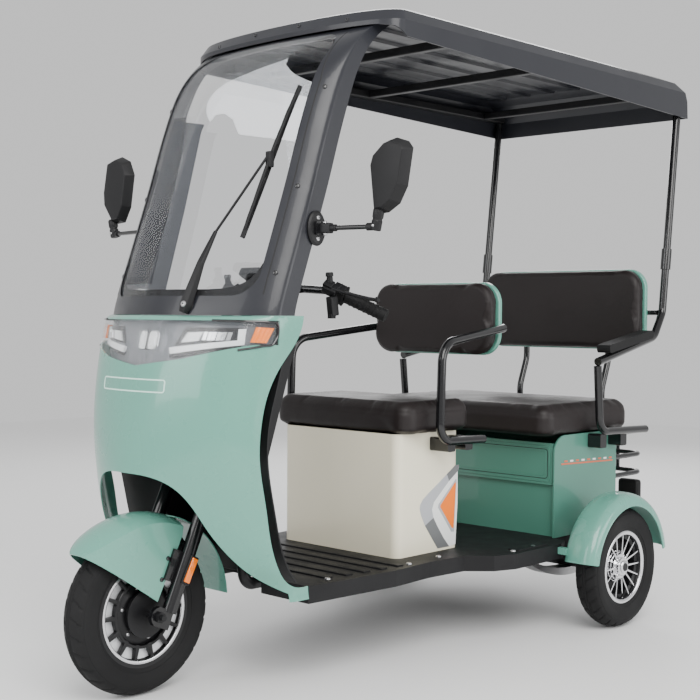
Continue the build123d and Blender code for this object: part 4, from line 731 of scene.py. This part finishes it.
badge = [(y - 0.012, z + 0.778) for y, z in rounded_rect(0.252, 0.03, 0.006)]
badge_line = strip_on("badge_outline", "nose_cowl", dense(badge), 0.004, BADGE_MINT, 0.0008)
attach(badge_line, "chassis")

# side decals on the front seat box
box_high = Vector(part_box("front_seat_box")[1])
decal_parts = []


def film(name, side, outline, mat, lift):
    """Film of a flat colour on the side of the seat box, from (x, z) points measured from the rear axle."""
    points = [at(x, 0, z) + Vector((0, side * (box_high.y + lift), 0)) for x, z in outline]
    return plate(name, points, 0.001, mat)


SWOOSH = mm((478, 514), (518, 491), (561, 465), (599, 444), (625, 428), (637, 414), (639.5, 402), (634, 384),
            (616, 351), (600, 331), (561, 344), (578, 370), (585, 394), (576, 415), (549, 437), (508, 470),
            (466, 497), (462, 506))
SWOOSH_TAIL = mm((616, 351), (581, 307), (558, 278), (505, 277.5), (531, 305), (561, 344), (578, 370))
SWOOSH_TIP = mm((462, 514), (478, 514), (518, 491), (508, 470), (466, 497))
WHITE_FIELD = mm((468, 496), (508, 470), (549, 437), (576, 415), (585, 394), (578, 370), (561, 344), (531, 305),
                 (505, 277.5), (476, 280), (468, 400))
ORANGE_PANE = mm((479, 464), (547, 403), (548, 398), (493, 330), (486, 329), (476, 461))
ORANGE_EDGE = mm((476, 474), (556, 406), (558, 397), (496, 319), (483, 318), (472, 470))
for side in (1, -1):
    for name, outline, mat, lift in (("decal_field", WHITE_FIELD, DECAL_PALE, 0.0002), ("decal_swoosh", SWOOSH,
            DECAL_SILVER, 0.0003), ("decal_tail", SWOOSH_TAIL, DECAL_GREY, 0.0006), ("decal_tip", SWOOSH_TIP,
            DECAL_GREY, 0.0006), ("decal_orange_edge", ORANGE_EDGE, DECAL_SILVER, 0.0005),
                                     ("decal_orange", ORANGE_PANE, DECAL_ORANGE, 0.0009)):
        decal_parts.append(film(name, side, outline, mat, lift))
decals = join("seat_box_decals", decal_parts)
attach(decals, "chassis")

# stripe on the rear box sides: a red band with a row of red and pale dashes over it
rear_high = Vector(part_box("rear_box_sides")[1])
stripe_parts = []
for side in (1, -1):
    def band(name, x0, x1, z_top0, z_top1, z_low0, z_low1, mat, lift):
        points = [at(x, 0, z) + Vector((0, side * (rear_high.y + lift), 0)) for x, z in
                  ((x0, z_top0), (x1, z_top1), (x1, z_low1), (x0, z_low0))]
        return plate(name, points, 0.001, mat)
    stripe_parts.append(band("stripe_band", 0.105, -0.19, 0.4985, 0.4885, 0.4935, 0.484, DECAL_RED, 0.0002))
    for k in range(9):
        x = 0.088 - 0.032 * k
        stripe_parts.append(band("stripe_dash", x, x - 0.017, 0.5065 - 0.001 * k, 0.506 - 0.001 * k,
                                 0.501 - 0.001 * k, 0.5005 - 0.001 * k, DECAL_PALE if k % 2 else DECAL_RED, 0.0003))
stripe = join("rear_box_stripe", stripe_parts)
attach(stripe, "chassis")

# storage door: raised inner border, and inside it a black line that is painted shade for a pressed groove
door_low, door_high = map(Vector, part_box("storage_door"))
door_parts = []
middle_z = (door_low.z + door_high.z) / 2
for inset, mat, lift, width in ((0.011, GREEN_DARK, 0.0022, 0.005), (0.019, SEAL, 0.0007, 0.0022)):
    outline = rounded_rect(door_high.y - door_low.y - 2 * inset, door_high.z - door_low.z - 2 * inset, 0.01)
    door_parts.append(strip_on("door_line", "storage_door", dense([(y, z + middle_z) for y, z in outline]), width,
                               mat, lift, 0.002, cast=lambda y, z: (Vector((door_high.x, y, z)), Vector((1, 0, 0)))))
door_lines = join("storage_door_lines", door_parts)
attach(door_lines, "storage_door_panel")

# raised ribs and fixing bolts on the floor
floor_high = Vector(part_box("floor_board")[1])
floor_parts = []
for x, half in ((0.8, 0.3), (0.862, 0.296), (0.924, 0.29), (0.986, 0.284), (1.048, 0.27)):
    floor_parts.append(block("floor_rib", at(x, 0, floor_high.z + 0.0008), (0.026, 2 * half, 0.0066), FLOOR_BLACK,
                             0.0026))
for side in (1, -1):
    for x, y in ((0.3, 0.385), (0.4, 0.385), (0.62, 0.285), (0.76, 0.295), (1.06, 0.275)):
        floor_parts.append(screw("floor_bolt", at(x, side * y, floor_high.z), (0, 0, 1), 0.0085, STEEL, 0.0045))
    floor_parts.append(block("floor_tread", at(0.315, side * 0.378, floor_high.z + 0.0006), (0.15, 0.04, 0.0044),
                             FLOOR_BLACK, 0.0018))
floor_detail = join("floor_ribs", floor_parts)
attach(floor_detail, "chassis")

# domed screws of the windscreen frame, the roof and the front fender
screw_parts = []


def screw_on(node, x, y, z, toward, radius=0.0062):
    place, normal = hit(node, at(x, y, z) + Vector(toward) * 0.12, -Vector(toward))
    if place is not None:
        screw_parts.append(screw("panel_screw", place, normal, radius, LAMP_DARK, 0.0034))


for side in (1, -1):
    for x, y, z in ((1.272, 0.3, 1.054), (1.197, 0.298, 1.271), (1.106, 0.3, 1.527)):
        screw_on("windscreen_frame", x, side * y, z, (0.74, side * 0.62, 0.26), 0.0068)
    screw_on("windscreen_frame", 1.343, side * 0.215, 1.018, (0.95, 0, 0.3), 0.0058)
    screw_on("windscreen_frame", 1.392, side * 0.07, 1.018, (0.95, 0, 0.3), 0.0058)
    for x, y, z in ((0.973, 0.255, 1.725), (0.996, 0.087, 1.736)):
        screw_on("roof_shell", x, side * y, z, (0.9, 0, 0.3), 0.0058)
screws = join("panel_screws", screw_parts)
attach(screws, "chassis")
screw_parts = []
for side in (1, -1):
    for x, z in ((1.422, 0.3455), (1.4418, 0.2949)):
        screw_on("front_fender", x, side * 0.072, z, (0, side, 0), 0.0062)
fender_screws = join("fender_screws", screw_parts)
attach(fender_screws, "steering")


# ------------------------ windscreen lining, corner gussets, wiper
GLASS = "windscreen_glass"


def glass_front(y, z):
    return from_ahead(GLASS, y, z)


def glass_near(y, z):
    """The sheet's face at a place, or the nearest one further in where the sheet ends before it."""
    for _ in range(40):
        place, normal = glass_front(y, z)
        if place is not None:
            return place, normal
        y, z = y * 0.992, z + (1.3 - z) * 0.012
    raise ValueError("no windscreen there")


def line_on(stations, t):
    """Value along (key, value) stations at key t."""
    for (a, p), (b, q) in zip(stations, stations[1:]):
        if a <= t <= b:
            return p + (q - p) * (t - a) / (b - a)
    return stations[-1][1] if t > stations[-1][0] else stations[0][1]


LINING_LOW, LINING_HIGH = 1.005, 1.5
lining_parts = []
REAR_LINE = mm((1010, 1190), (1030, 1185), (1250, 1120), (1480, 1059), (1560, 1015), (1600, 985))
for side in (1, -1):
    rows = []
    for k in range(23):
        z = LINING_LOW + (LINING_HIGH - LINING_LOW) * k / 22
        p, n = glass_front(side * 0.284, z)
        if p is None:
            continue
        front = Vector((p.x, side * 0.284, z)) - n * 0.007
        back = at(line_on(REAR_LINE, z), side * 0.238, z - 0.006)
        out = Vector((0, side, 0))
        rows.append([front, front.lerp(back, 0.25) - out * 0.004, front.lerp(back, 0.5) - out * 0.006,
                     front.lerp(back, 0.85) - out * 0.002, back, back + out * 0.01,
                     back + out * 0.056 + Vector((0.006, 0, 0)), front + out * 0.014 - Vector((0.02, 0, 0))])
    lining_parts.append(new_object("pillar_lining", skin(rows), LINING, angle=40))
lining = join("pillar_linings", lining_parts)
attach(lining, "chassis")

# black corner gussets just behind the sheet, and the dark band along the sill
GUSSET_IN = mm((290, 1230), (289.5, 1190), (285, 1140), (277, 1095), (265, 1062), (250, 1040), (225, 1026),
               (190, 1020), (150, 1018), (100, 1018), (50, 1018), (0, 1018))
GUSSET_OUT = mm((288, 1230), (288, 1190), (288, 1140), (288, 1090), (288, 1050), (285, 1010), (240, 996), (190, 994),
                (150, 994), (100, 994), (50, 994), (0, 994))
gusset_parts = []
for side in (1, -1):
    rows = []
    for (y_in, z_in), (y_out, z_out) in zip(GUSSET_IN, GUSSET_OUT):
        row = [glass_near(side * (y_in + (y_out - y_in) * t), z_in + (z_out - z_in) * t) for t in (0.0, 0.5, 1.0)]
        rows.append([p - n * 0.0046 for p, n in row] + [p - n * 0.007 for p, n in reversed(row)])
    gusset_parts.append(new_object("screen_gusset", skin(rows), SEAL, angle=40))
gussets = join("screen_corner_gussets", gusset_parts)
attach(gussets, "chassis")

# thin black seam between the sheet and its frame, up both pillars
SCREEN_SEAM_LOW, SCREEN_SEAM_HIGH = 1.004, 1.69
seam_parts = []
for side in (1, -1):
    line = []
    for k in range(40):
        z = SCREEN_SEAM_LOW + (SCREEN_SEAM_HIGH - SCREEN_SEAM_LOW) * k / 39
        p, n = hit("windscreen_frame", at(1.8, side * (0.2935 - 0.02 * max(0, (z - 1.55) / 0.14)), z), (-1, 0, 0))
        if p is not None:
            line.append((p, n))
    rows = []
    for i, (p, n) in enumerate(line):
        ahead = (line[min(i + 1, len(line) - 1)][0] - line[max(i - 1, 0)][0]).normalized()
        across = ahead.cross(n).normalized() * 0.0018
        rows.append([p + across + n * 0.0001, p + n * 0.0008, p - across + n * 0.0001])
    seam_parts.append(new_object("screen_seam", skin(rows, around=False), SEAL))
seams = join("screen_seams", seam_parts)
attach(seams, "chassis")


# wiper: pivot cap, tapered arm, rod, and a blade with its carrier
def over_glass(y, z, lift):
    p, n = glass_front(y, z)
    q, m = from_ahead("windscreen_frame", y, z)
    if p is None or (q is not None and q.x > p.x):
        p, n = q, m
    return p + n * lift, n


wiper_parts = []
add = wiper_parts.append
foot, foot_n = over_glass(0.11, 0.976, 0.006)
foot2, n2 = over_glass(0.128, 1.075, 0.02)
tip2, n3 = over_glass(0.1414, 1.156, 0.015)
rows = []
for p, n, width, thick in ((foot - (foot2 - foot).normalized() * 0.02, foot_n, 0.026, 0.016),
                           (foot, foot_n, 0.038, 0.024), (foot.lerp(foot2, 0.35), foot_n, 0.034, 0.02),
                           (foot2, n2, 0.023, 0.013), (tip2, n3, 0.011, 0.008)):
    across = (tip2 - foot).normalized().cross(n).normalized() * width / 2
    crest, keel = n * thick * 0.5, n * thick * 0.35
    rows.append([p + across, p + across * 0.55 + crest, p - across * 0.55 + crest, p - across,
                 p - across * 0.8 - keel, p + across * 0.8 - keel])
bm = skin(rows)
bmesh.ops.recalc_face_normals(bm, faces=bm.faces[:])
soften(bm, 0.001)
add(new_object("wiper_arm", bm, BLACK_PLASTIC))
base, base_n = over_glass(0.11, 0.976, -0.006)
add(lathe("wiper_pivot", [(0.0, TIP), (0.0, 0.019), (0.006, 0.0185), (0.01, 0.015), (0.012, 0.01), (0.012, TIP)],
          base, base_n, BLACK_PLASTIC, 32))
add(screw("wiper_nut", foot + foot_n * 0.01, foot_n, 0.0085, STEEL, 0.004))
rod_start, rod_end = over_glass(0.14, 1.15, 0.0155)[0], over_glass(0.229, 1.343, 0.024)[0]
rod_points = [rod_start.lerp(rod_end, k / 4) for k in range(5)]
add(tube("wiper_rod", rod_points, 0.0034, BLACK_PLASTIC, 12, 5))
blade = []
for k in range(19):
    t = k / 18
    y, z = 0.2119 + (0.254 - 0.2119) * t, 1.1417 + (1.5289 - 1.1417) * t
    blade.append(over_glass(y, z, 0.0))
for name, lift, width, thick, mat in (("blade_rubber", 0.003, 0.003, 0.0052, RUBBER), ("blade_strip", 0.0082, 0.0125,
        0.004, BLACK_PLASTIC)):
    rows = []
    for i, (p, n) in enumerate(blade):
        along = (blade[min(i + 1, 18)][0] - blade[max(i - 1, 0)][0]).normalized()
        across = along.cross(n).normalized() * width / 2
        q, half = p + n * lift, n * thick / 2
        rows.append([q + across - half, q + across + half, q - across + half, q - across - half])
    add(new_object(name, skin(rows), mat, angle=30))
for ends, rise in (((2, 9, 16), 0.02), ((1, 4, 7), 0.0155), ((11, 14, 17), 0.0155)):
    path = []
    for k, share in zip(ends, (0.0, 1.0, 0.0)):
        p, n = blade[k]
        path.append(p + n * (0.0095 + (rise - 0.0095) * share))
    p, n = blade[(ends[0] + ends[1]) // 2]
    q, m = blade[(ends[1] + ends[2]) // 2]
    path = [path[0], p + n * (0.0095 + (rise - 0.0095) * 0.8), path[1], q + m * (0.0095 + (rise - 0.0095) * 0.8),
            path[2]]
    add(tube("blade_carrier", path, 0.0046, BLACK_PLASTIC, 10, 5))
joint, joint_n = blade[9]
add(block("blade_joint", joint + joint_n * 0.0185, (0.016, 0.018, 0.04), BLACK_PLASTIC, 0.004))
wiper = join("wiper_detail", wiper_parts)
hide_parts("wiper")
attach(wiper, "chassis")


# ------------------------ handlebar controls, mirrors, fork details
def turned(direction):
    """Rotation that lays local X along a direction."""
    return Vector((1, 0, 0)).rotation_difference(Vector(direction).normalized()).to_matrix().to_4x4()


control_parts = []
add = control_parts.append
for side in (1, -1):
    inner, outer = at(0.958, side * 0.19, 1.019), at(0.892, side * 0.318, 0.954)
    run = (outer - inner).normalized()
    turn = turned(run)
    grip_start = outer - run * 0.122
    # switch housing round the bar, in two shells with a seam, and its buttons
    for name, shift, size, mat in (("switch_shell", -0.02, (0.034, 0.036, 0.044), BLACK_PLASTIC),
                                   ("switch_seam", -0.02, (0.0025, 0.0366, 0.0446), SEAL), ("grip_collar", -0.0005,
            (0.006, 0.04, 0.04), RUBBER)):
        add(block(name, grip_start + run * shift, size, mat, 0.0035 if name == "switch_shell" else 0.0008, turn))
    for k, mat in enumerate((RED, DECAL_PALE, BLACK_PLASTIC)):
        add(block("button", grip_start - run * 0.02 + turn.to_3x3() @ Vector((0.0, 0.01 * (k - 1),
                0.0)) + Vector((-0.02, 0, 0.002 + 0.01 * (1 - k))), (0.008, 0.011, 0.007), mat, 0.0018))
    # lever perch, reservoir stub, hanging block
    perch = at(0.984, side * 0.205, 1.022)
    add(block("lever_perch", perch, (0.04, 0.03, 0.024), BLACK_PLASTIC, 0.004, turn))
    add(block("perch_cap", perch + Vector((0.006, 0, 0.015)), (0.026, 0.026, 0.01), BLACK_PLASTIC, 0.003, turn))
    add(lathe("perch_stub", [(0.0, TIP), (0.0, 0.0085), (0.014, 0.0085), (0.017, 0.0075), (0.017, 0.0105),
                             (0.025, 0.0105), (0.028, 0.0085), (0.028, TIP)], perch + Vector((0.002, 0, 0.018)),
              (0.1, 0, 1), BLACK_PLASTIC, 24))
    add(block("hanging_block", at(0.985, side * 0.214, 0.978), (0.026, 0.022, 0.052), BLACK_PLASTIC, 0.004,
              Matrix.Rotation(math.radians(8), 4, "Y")))
    add(block("hanging_foot", at(0.988, side * 0.214, 0.951), (0.017, 0.016, 0.012), RUBBER, 0.002))
    lever = [perch + Vector((0.006, side * 0.01, 0.002)), at(0.976, side * 0.24, 1.016), at(0.962, side * 0.275,
            1.006), at(0.947, side * 0.308, 0.998), at(0.938, side * 0.327, 0.995)]
    add(tube("brake_lever", lever, 0.0052, BLACK_PLASTIC, 12, 6))
    add(lathe("lever_ball", [(-0.008, TIP), (-0.0057, 0.0057), (0.0, 0.008), (0.0057, 0.0057), (0.008, TIP)],
              at(0.937, side * 0.329, 0.995), AXLE, BLACK_PLASTIC, 20))
    # ribs on the grip
    for k in range(7):
        add(lathe("grip_rib", [(-0.0022, 0.0168), (-0.0012, 0.0182), (0.0012, 0.0182), (0.0022, 0.0168)],
                  outer - run * (0.014 + 0.0145 * k), run, RUBBER, 32, closed=True))
controls = join("handlebar_controls", control_parts)
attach(controls, "steering")

# handlebar cover with the instrument face
cover_parts = []
add = cover_parts.append
face_turn = Matrix.Rotation(math.radians(-28), 4, "Y")
add(block("clamp_cover", at(1.035, 0, 1.025), (0.06, 0.11, 0.05), BLACK_PLASTIC, 0.012, face_turn, 4))
add(block("meter_body", at(1.03, 0, 1.058), (0.07, 0.15, 0.026), BLACK_PLASTIC, 0.009, face_turn, 4))
add(block("meter_glass", at(1.024, 0, 1.0705), (0.05, 0.122, 0.004), LAMP_DARK, 0.0015, face_turn, 2))
meter = join("meter_cover", cover_parts)
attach(meter, "steering")

# mirrors: mounting discs, stem clamps and neck joints, then softened shells and their panes
MIRROR_JOINTS = ((1, 0.4955, 1.1696), (-1, 0.5605, 1.1906))
DISC_STRETCH = 1.42
stem_parts = []
add = stem_parts.append
for side, joint_y, joint_z in MIRROR_JOINTS:
    foot = at(1.159, side * 0.334, joint_z)
    tip = at(1.1246, side * joint_y, joint_z)
    run = (tip - foot).normalized()
    add(lathe("clamp_disc", [(-0.002, TIP), (-0.002, 0.03), (0.004, 0.031), (0.008, 0.027), (0.01, 0.014),
                             (0.01, TIP)], at(1.165, side * 0.329, joint_z), (0, side, 0), BLACK_PLASTIC, 40))
    for v in stem_parts[-1].data.vertices:
        v.co.z = joint_z + (v.co.z - joint_z) * DISC_STRETCH
    for up in (0.026, -0.026):
        add(screw("clamp_screw", at(1.165, side * 0.337, joint_z + up), (0, side, 0), 0.0062, STEEL, 0.0035))
    add(block("clamp_block", foot + run * 0.02, (0.034, 0.022, 0.026), BLACK_PLASTIC, 0.004, turned(run)))
    add(screw("clamp_bolt", foot + run * 0.018 + Vector((0, 0, 0.013)), (0, 0, 1), 0.0065, STEEL, 0.005))
    add(screw("clamp_bolt", foot + run * 0.018 + Vector((0, 0, -0.013)), (0, 0, -1), 0.0065, STEEL, 0.005))
    add(rod("stem_sleeve", foot + run * 0.036, foot + run * 0.052, 0.0088, BLACK_PLASTIC))
    add(rod("stem_socket", tip - run * 0.026, tip - run * 0.002, 0.0096, BLACK_PLASTIC))
    add(lathe("neck_joint", [(-0.01, TIP), (-0.01, 0.011), (-0.008, 0.0128), (0.014, 0.0132), (0.016, 0.0118),
                             (0.019, 0.0118), (0.022, 0.0136), (0.04, 0.0142), (0.044, 0.012), (0.044, TIP)], tip,
              (0, side * 0.22, 1), BLACK_PLASTIC, 32))
    add(screw("neck_screw", tip + Vector((0.013, 0, 0.002)), (1, 0, 0), 0.004, STEEL, 0.003))
stems = join("mirror_stem_joints", stem_parts)
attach(stems, "chassis")

shells = NODES["mirror_shells"]
mesh = shells.data.copy()
mirror = bpy.data.objects.new("mirror_housings", mesh)
bpy.context.scene.collection.objects.link(mirror)
bm = bmesh.new()
bm.from_mesh(mesh)
bmesh.ops.remove_doubles(bm, verts=bm.verts[:], dist=1e-5)
bmesh.ops.dissolve_limit(bm, angle_limit=math.radians(2), verts=bm.verts[:], edges=bm.edges[:])
sharp = [e for e in bm.edges if len(e.link_faces) == 2 and e.calc_face_angle(0) > math.radians(12)]
bmesh.ops.bevel(bm, geom=sharp, offset=0.0028, segments=3, profile=0.6, affect="EDGES", clamp_overlap=True)
bmesh.ops.triangulate(bm, faces=bm.faces[:])
bm.to_mesh(mesh)
bm.free()
mesh.materials.clear()
mesh.materials.append(BLACK_PLASTIC)
mesh.shade_smooth()
mesh.set_sharp_from_angle(angle=math.radians(30))
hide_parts("mirror_shells")
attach(mirror, "chassis")
low = Vector(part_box("mirror_shells")[0])
glass_parts = []
SHAPES = {1: ((0, 0), (-14, 118), (-4, 146), (34, 176), (60, 181), (98, 169), (112, 152), (96, 62), (72, 22),
              (36, 2)), -1: ((3, 0), (-36, 3), (-64, 47), (-81, 142), (-61, 183), (-20, 200), (28, 186), (47, 95),
                             (44, 53))}
for side, joint_y, joint_z in MIRROR_JOINTS:
    outline = [(across / 1000, up / 1000) for across, up in SHAPES[side]]
    cx = sum(p[0] for p in outline) / len(outline)
    cz = sum(p[1] for p in outline) / len(outline)
    points = [Vector((low.x - 0.0004, side * (joint_y - 0.004 + cx + (a - cx) * 0.88),
                      joint_z + 0.03 + cz + (u - cz) * 0.9)) for a, u in outline]
    glass_parts.append(plate("mirror_pane", points, 0.0016, MIRROR_GLASS, 0.0004))
panes = join("mirror_glasses", glass_parts)
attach(panes, "chassis")

# fork: orange side reflectors on black holders
fork_parts = []
for side in (1, -1):
    top, foot = at(1.3627, side * 0.103, 0.342), at(1.392, side * 0.103, 0.285)
    run = (foot - top).normalized()
    turn = turned(run)
    centre = (top + foot) / 2
    fork_parts.append(block("reflector_holder", centre + Vector((0, side * -0.001, 0)), (0.074, 0.008, 0.026),
                            BLACK_PLASTIC, 0.003, turn))
    fork_parts.append(block("reflector", centre + Vector((0, side * 0.004, 0)), (0.064, 0.006, 0.018), AMBER, 0.0026,
                            turn))
reflectors = join("fork_reflectors", fork_parts)
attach(reflectors, "steering")


# ------------------------ fender lips, lens border, locks, bumper pads and tail lamps
def arc_tube(name, centre, y, radius, start, end, thick, mat, steps=60):
    points = [Vector((centre.x + radius * math.cos(math.radians(a)), y,
                      centre.z + radius * math.sin(math.radians(a)))) for a in [start + (end - start) * k / steps
            for k in range(steps + 1)]]
    return tube(name, points, thick, mat, 10, 1)


rim_parts = []
for side in (1, -1):
    rim_parts.append(arc_tube("rear_fender_lip", Vector((REAR.x, 0, REAR.z)), side * 0.54, 0.1915, 10, 169, 0.0028,
                              GREEN))
    for a in (10.3, 168.7):
        c, s = math.cos(math.radians(a)), math.sin(math.radians(a))
        line = [Vector((REAR.x + r * c, side * y, REAR.z + r * s)) for y, r in ((0.442, 0.216), (0.452, 0.2255),
                (0.47, 0.2275), (0.5, 0.2265), (0.522, 0.218), (0.535, 0.206), (0.54, 0.193))]
        rim_parts.append(tube("rear_fender_edge", line, 0.0026, GREEN, 10, 5))
rims = join("rear_fender_lips", rim_parts)
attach(rims, "chassis")

# dark seal round the lamp window where it turns to the sides
border_parts = []
for side in (1, -1):
    edge = []
    for x, z in ((1.4, 0.9395), (1.36, 0.9385), (1.32, 0.9375), (1.296, 0.9365), (1.2875, 0.93), (1.2865, 0.915),
                 (1.29, 0.9), (1.299, 0.886), (1.306, 0.8805), (1.325, 0.879), (1.345, 0.875), (1.375, 0.869)):
        place, normal = from_side("headlamp_lens", x, side, z)
        if place is None:
            place, normal = from_side("nose_cowl", x, side, z)
        edge.append(place + normal * 0.0012)
    border_parts.append(tube("lens_border", edge, 0.003, LAMP_DARK, 8, 4))
border = join("lens_borders", border_parts)
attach(border, "chassis")

# seat locks and the storage door lock
lock_parts = []
for side in (1, -1):
    lock_parts.append(lathe("seat_lock", [(-0.001, TIP), (-0.001, 0.011), (0.002, 0.011), (0.003, 0.009),
                                          (0.003, 0.006), (0.0015, 0.0055), (0.0015, TIP)],
                            at(0.46, side * 0.12, 0.57), (-1, 0, 0), CHROME, 28))
lock_parts.append(lathe("door_lock", [(-0.001, TIP), (-0.001, 0.0115), (0.002, 0.0115), (0.003, 0.0095),
                                      (0.003, 0.006), (0.0015, 0.0055), (0.0015, TIP)], at(0.132, 0.0, 0.535),
                        (1, 0, 0), CHROME, 28))
locks = join("seat_box_locks", lock_parts[:2])
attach(locks, "chassis")
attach(lock_parts[2], "storage_door_panel")

# black rubber bumper pads at the rear, on their stays
tail_parts = []
for side in (1, -1):
    tail_parts.append(block("bumper_pad", at(-0.458, side * 0.255, 0.355), (0.032, 0.08, 0.074), RUBBER, 0.014))
    tail_parts.append(block("bumper_stay", at(-0.345, side * 0.255, 0.3), (0.22, 0.03, 0.012), FRAME_BLACK, 0.003))
tail = join("rear_bumper_pads", tail_parts)
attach(tail, "chassis")

# tail lamp blocks
lamp_low, lamp_high = map(Vector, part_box("tail_lamps"))
tail_lamp_parts = []
for side in (1, -1):
    centre = Vector((lamp_low.x, side * (lamp_high.y - 0.032), (lamp_low.z + lamp_high.z) / 2))
    for k, (mat, height) in enumerate(((AMBER, 0.018), (RED, 0.03), (LED_WHITE, 0.014))):
        z = centre.z + (0.024, -0.004, -0.029)[k]
        tail_lamp_parts.append(block("tail_block", Vector((centre.x - 0.0005, centre.y, z)), (0.004, 0.052, height),
                                     mat, 0.0016))
tail_lights = join("tail_lamp_blocks", tail_lamp_parts)
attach(tail_lights, "chassis")


# ------------------------ floor, light and camera
bpy.ops.mesh.primitive_plane_add(size=14.0, location=(0, 0, 0))
ground = bpy.context.object
ground.name = "studio_floor"
ground.data.materials.append(material("pale studio floor", (0.88, 0.88, 0.88), rough=0.75))

WORLD_STRENGTH = 0.8
world = bpy.data.worlds.new("studio")
bpy.context.scene.world = world
world.use_nodes = True
world.node_tree.nodes["Background"].inputs["Color"].default_value = (1.0, 1.0, 1.0, 1.0)
world.node_tree.nodes["Background"].inputs["Strength"].default_value = WORLD_STRENGTH


def soft_light(name, place, target, size, power, color=(1.0, 1.0, 1.0)):
    light = bpy.data.lights.new(name, "AREA")
    light.shape = "RECTANGLE"
    light.size, light.size_y = size
    light.energy = power
    light.color = color
    lamp = bpy.data.objects.new(name, light)
    bpy.context.scene.collection.objects.link(lamp)
    lamp.location = Vector(place)
    lamp.rotation_euler = (Vector(target) - Vector(place)).to_track_quat("-Z", "Y").to_euler()


for softbox in (("key softbox", (2.6, 3.4, 3.8), (0.0, 0.0, 0.7), (3.2, 3.2), 260.0, (1.0, 0.99, 0.97)),
                ("front softbox", (4.4, -0.8, 2.2), (0.2, 0.0, 0.8), (2.6, 2.2), 70.0),
                ("side softbox", (-1.4, 4.4, 1.5), (-0.3, 0.0, 0.5), (2.8, 1.8), 75.0),
                ("back softbox", (-3.6, -2.6, 3.0), (0.0, 0.0, 0.8), (2.4, 2.4), 90.0)):
    soft_light(*softbox)

YAW, PITCH, ROLL = -2.384334815, -0.029494591, 0.006568408  # radians
CAMERA_PLACE, LENS_MM, SENSOR_MM = Vector((2.84177, 2.55547, 0.96092)), 65.066, 36.0
ahead = Vector((math.cos(YAW) * math.cos(PITCH), math.sin(YAW) * math.cos(PITCH), math.sin(PITCH)))
flat = ahead.cross(Vector((0, 0, 1))).normalized()
rise = flat.cross(ahead)
right = flat * math.cos(ROLL) + rise * math.sin(ROLL)
above = rise * math.cos(ROLL) - flat * math.sin(ROLL)
view = bpy.data.cameras.new("view")
view.lens = LENS_MM
view.sensor_width = SENSOR_MM
camera = bpy.data.objects.new("view", view)
bpy.context.scene.collection.objects.link(camera)
camera.matrix_world = Matrix((
    (right.x, above.x, -ahead.x, CAMERA_PLACE.x),
    (right.y, above.y, -ahead.y, CAMERA_PLACE.y),
    (right.z, above.z, -ahead.z, CAMERA_PLACE.z),
    (0.0, 0.0, 0.0, 1.0)))
bpy.context.scene.camera = camera
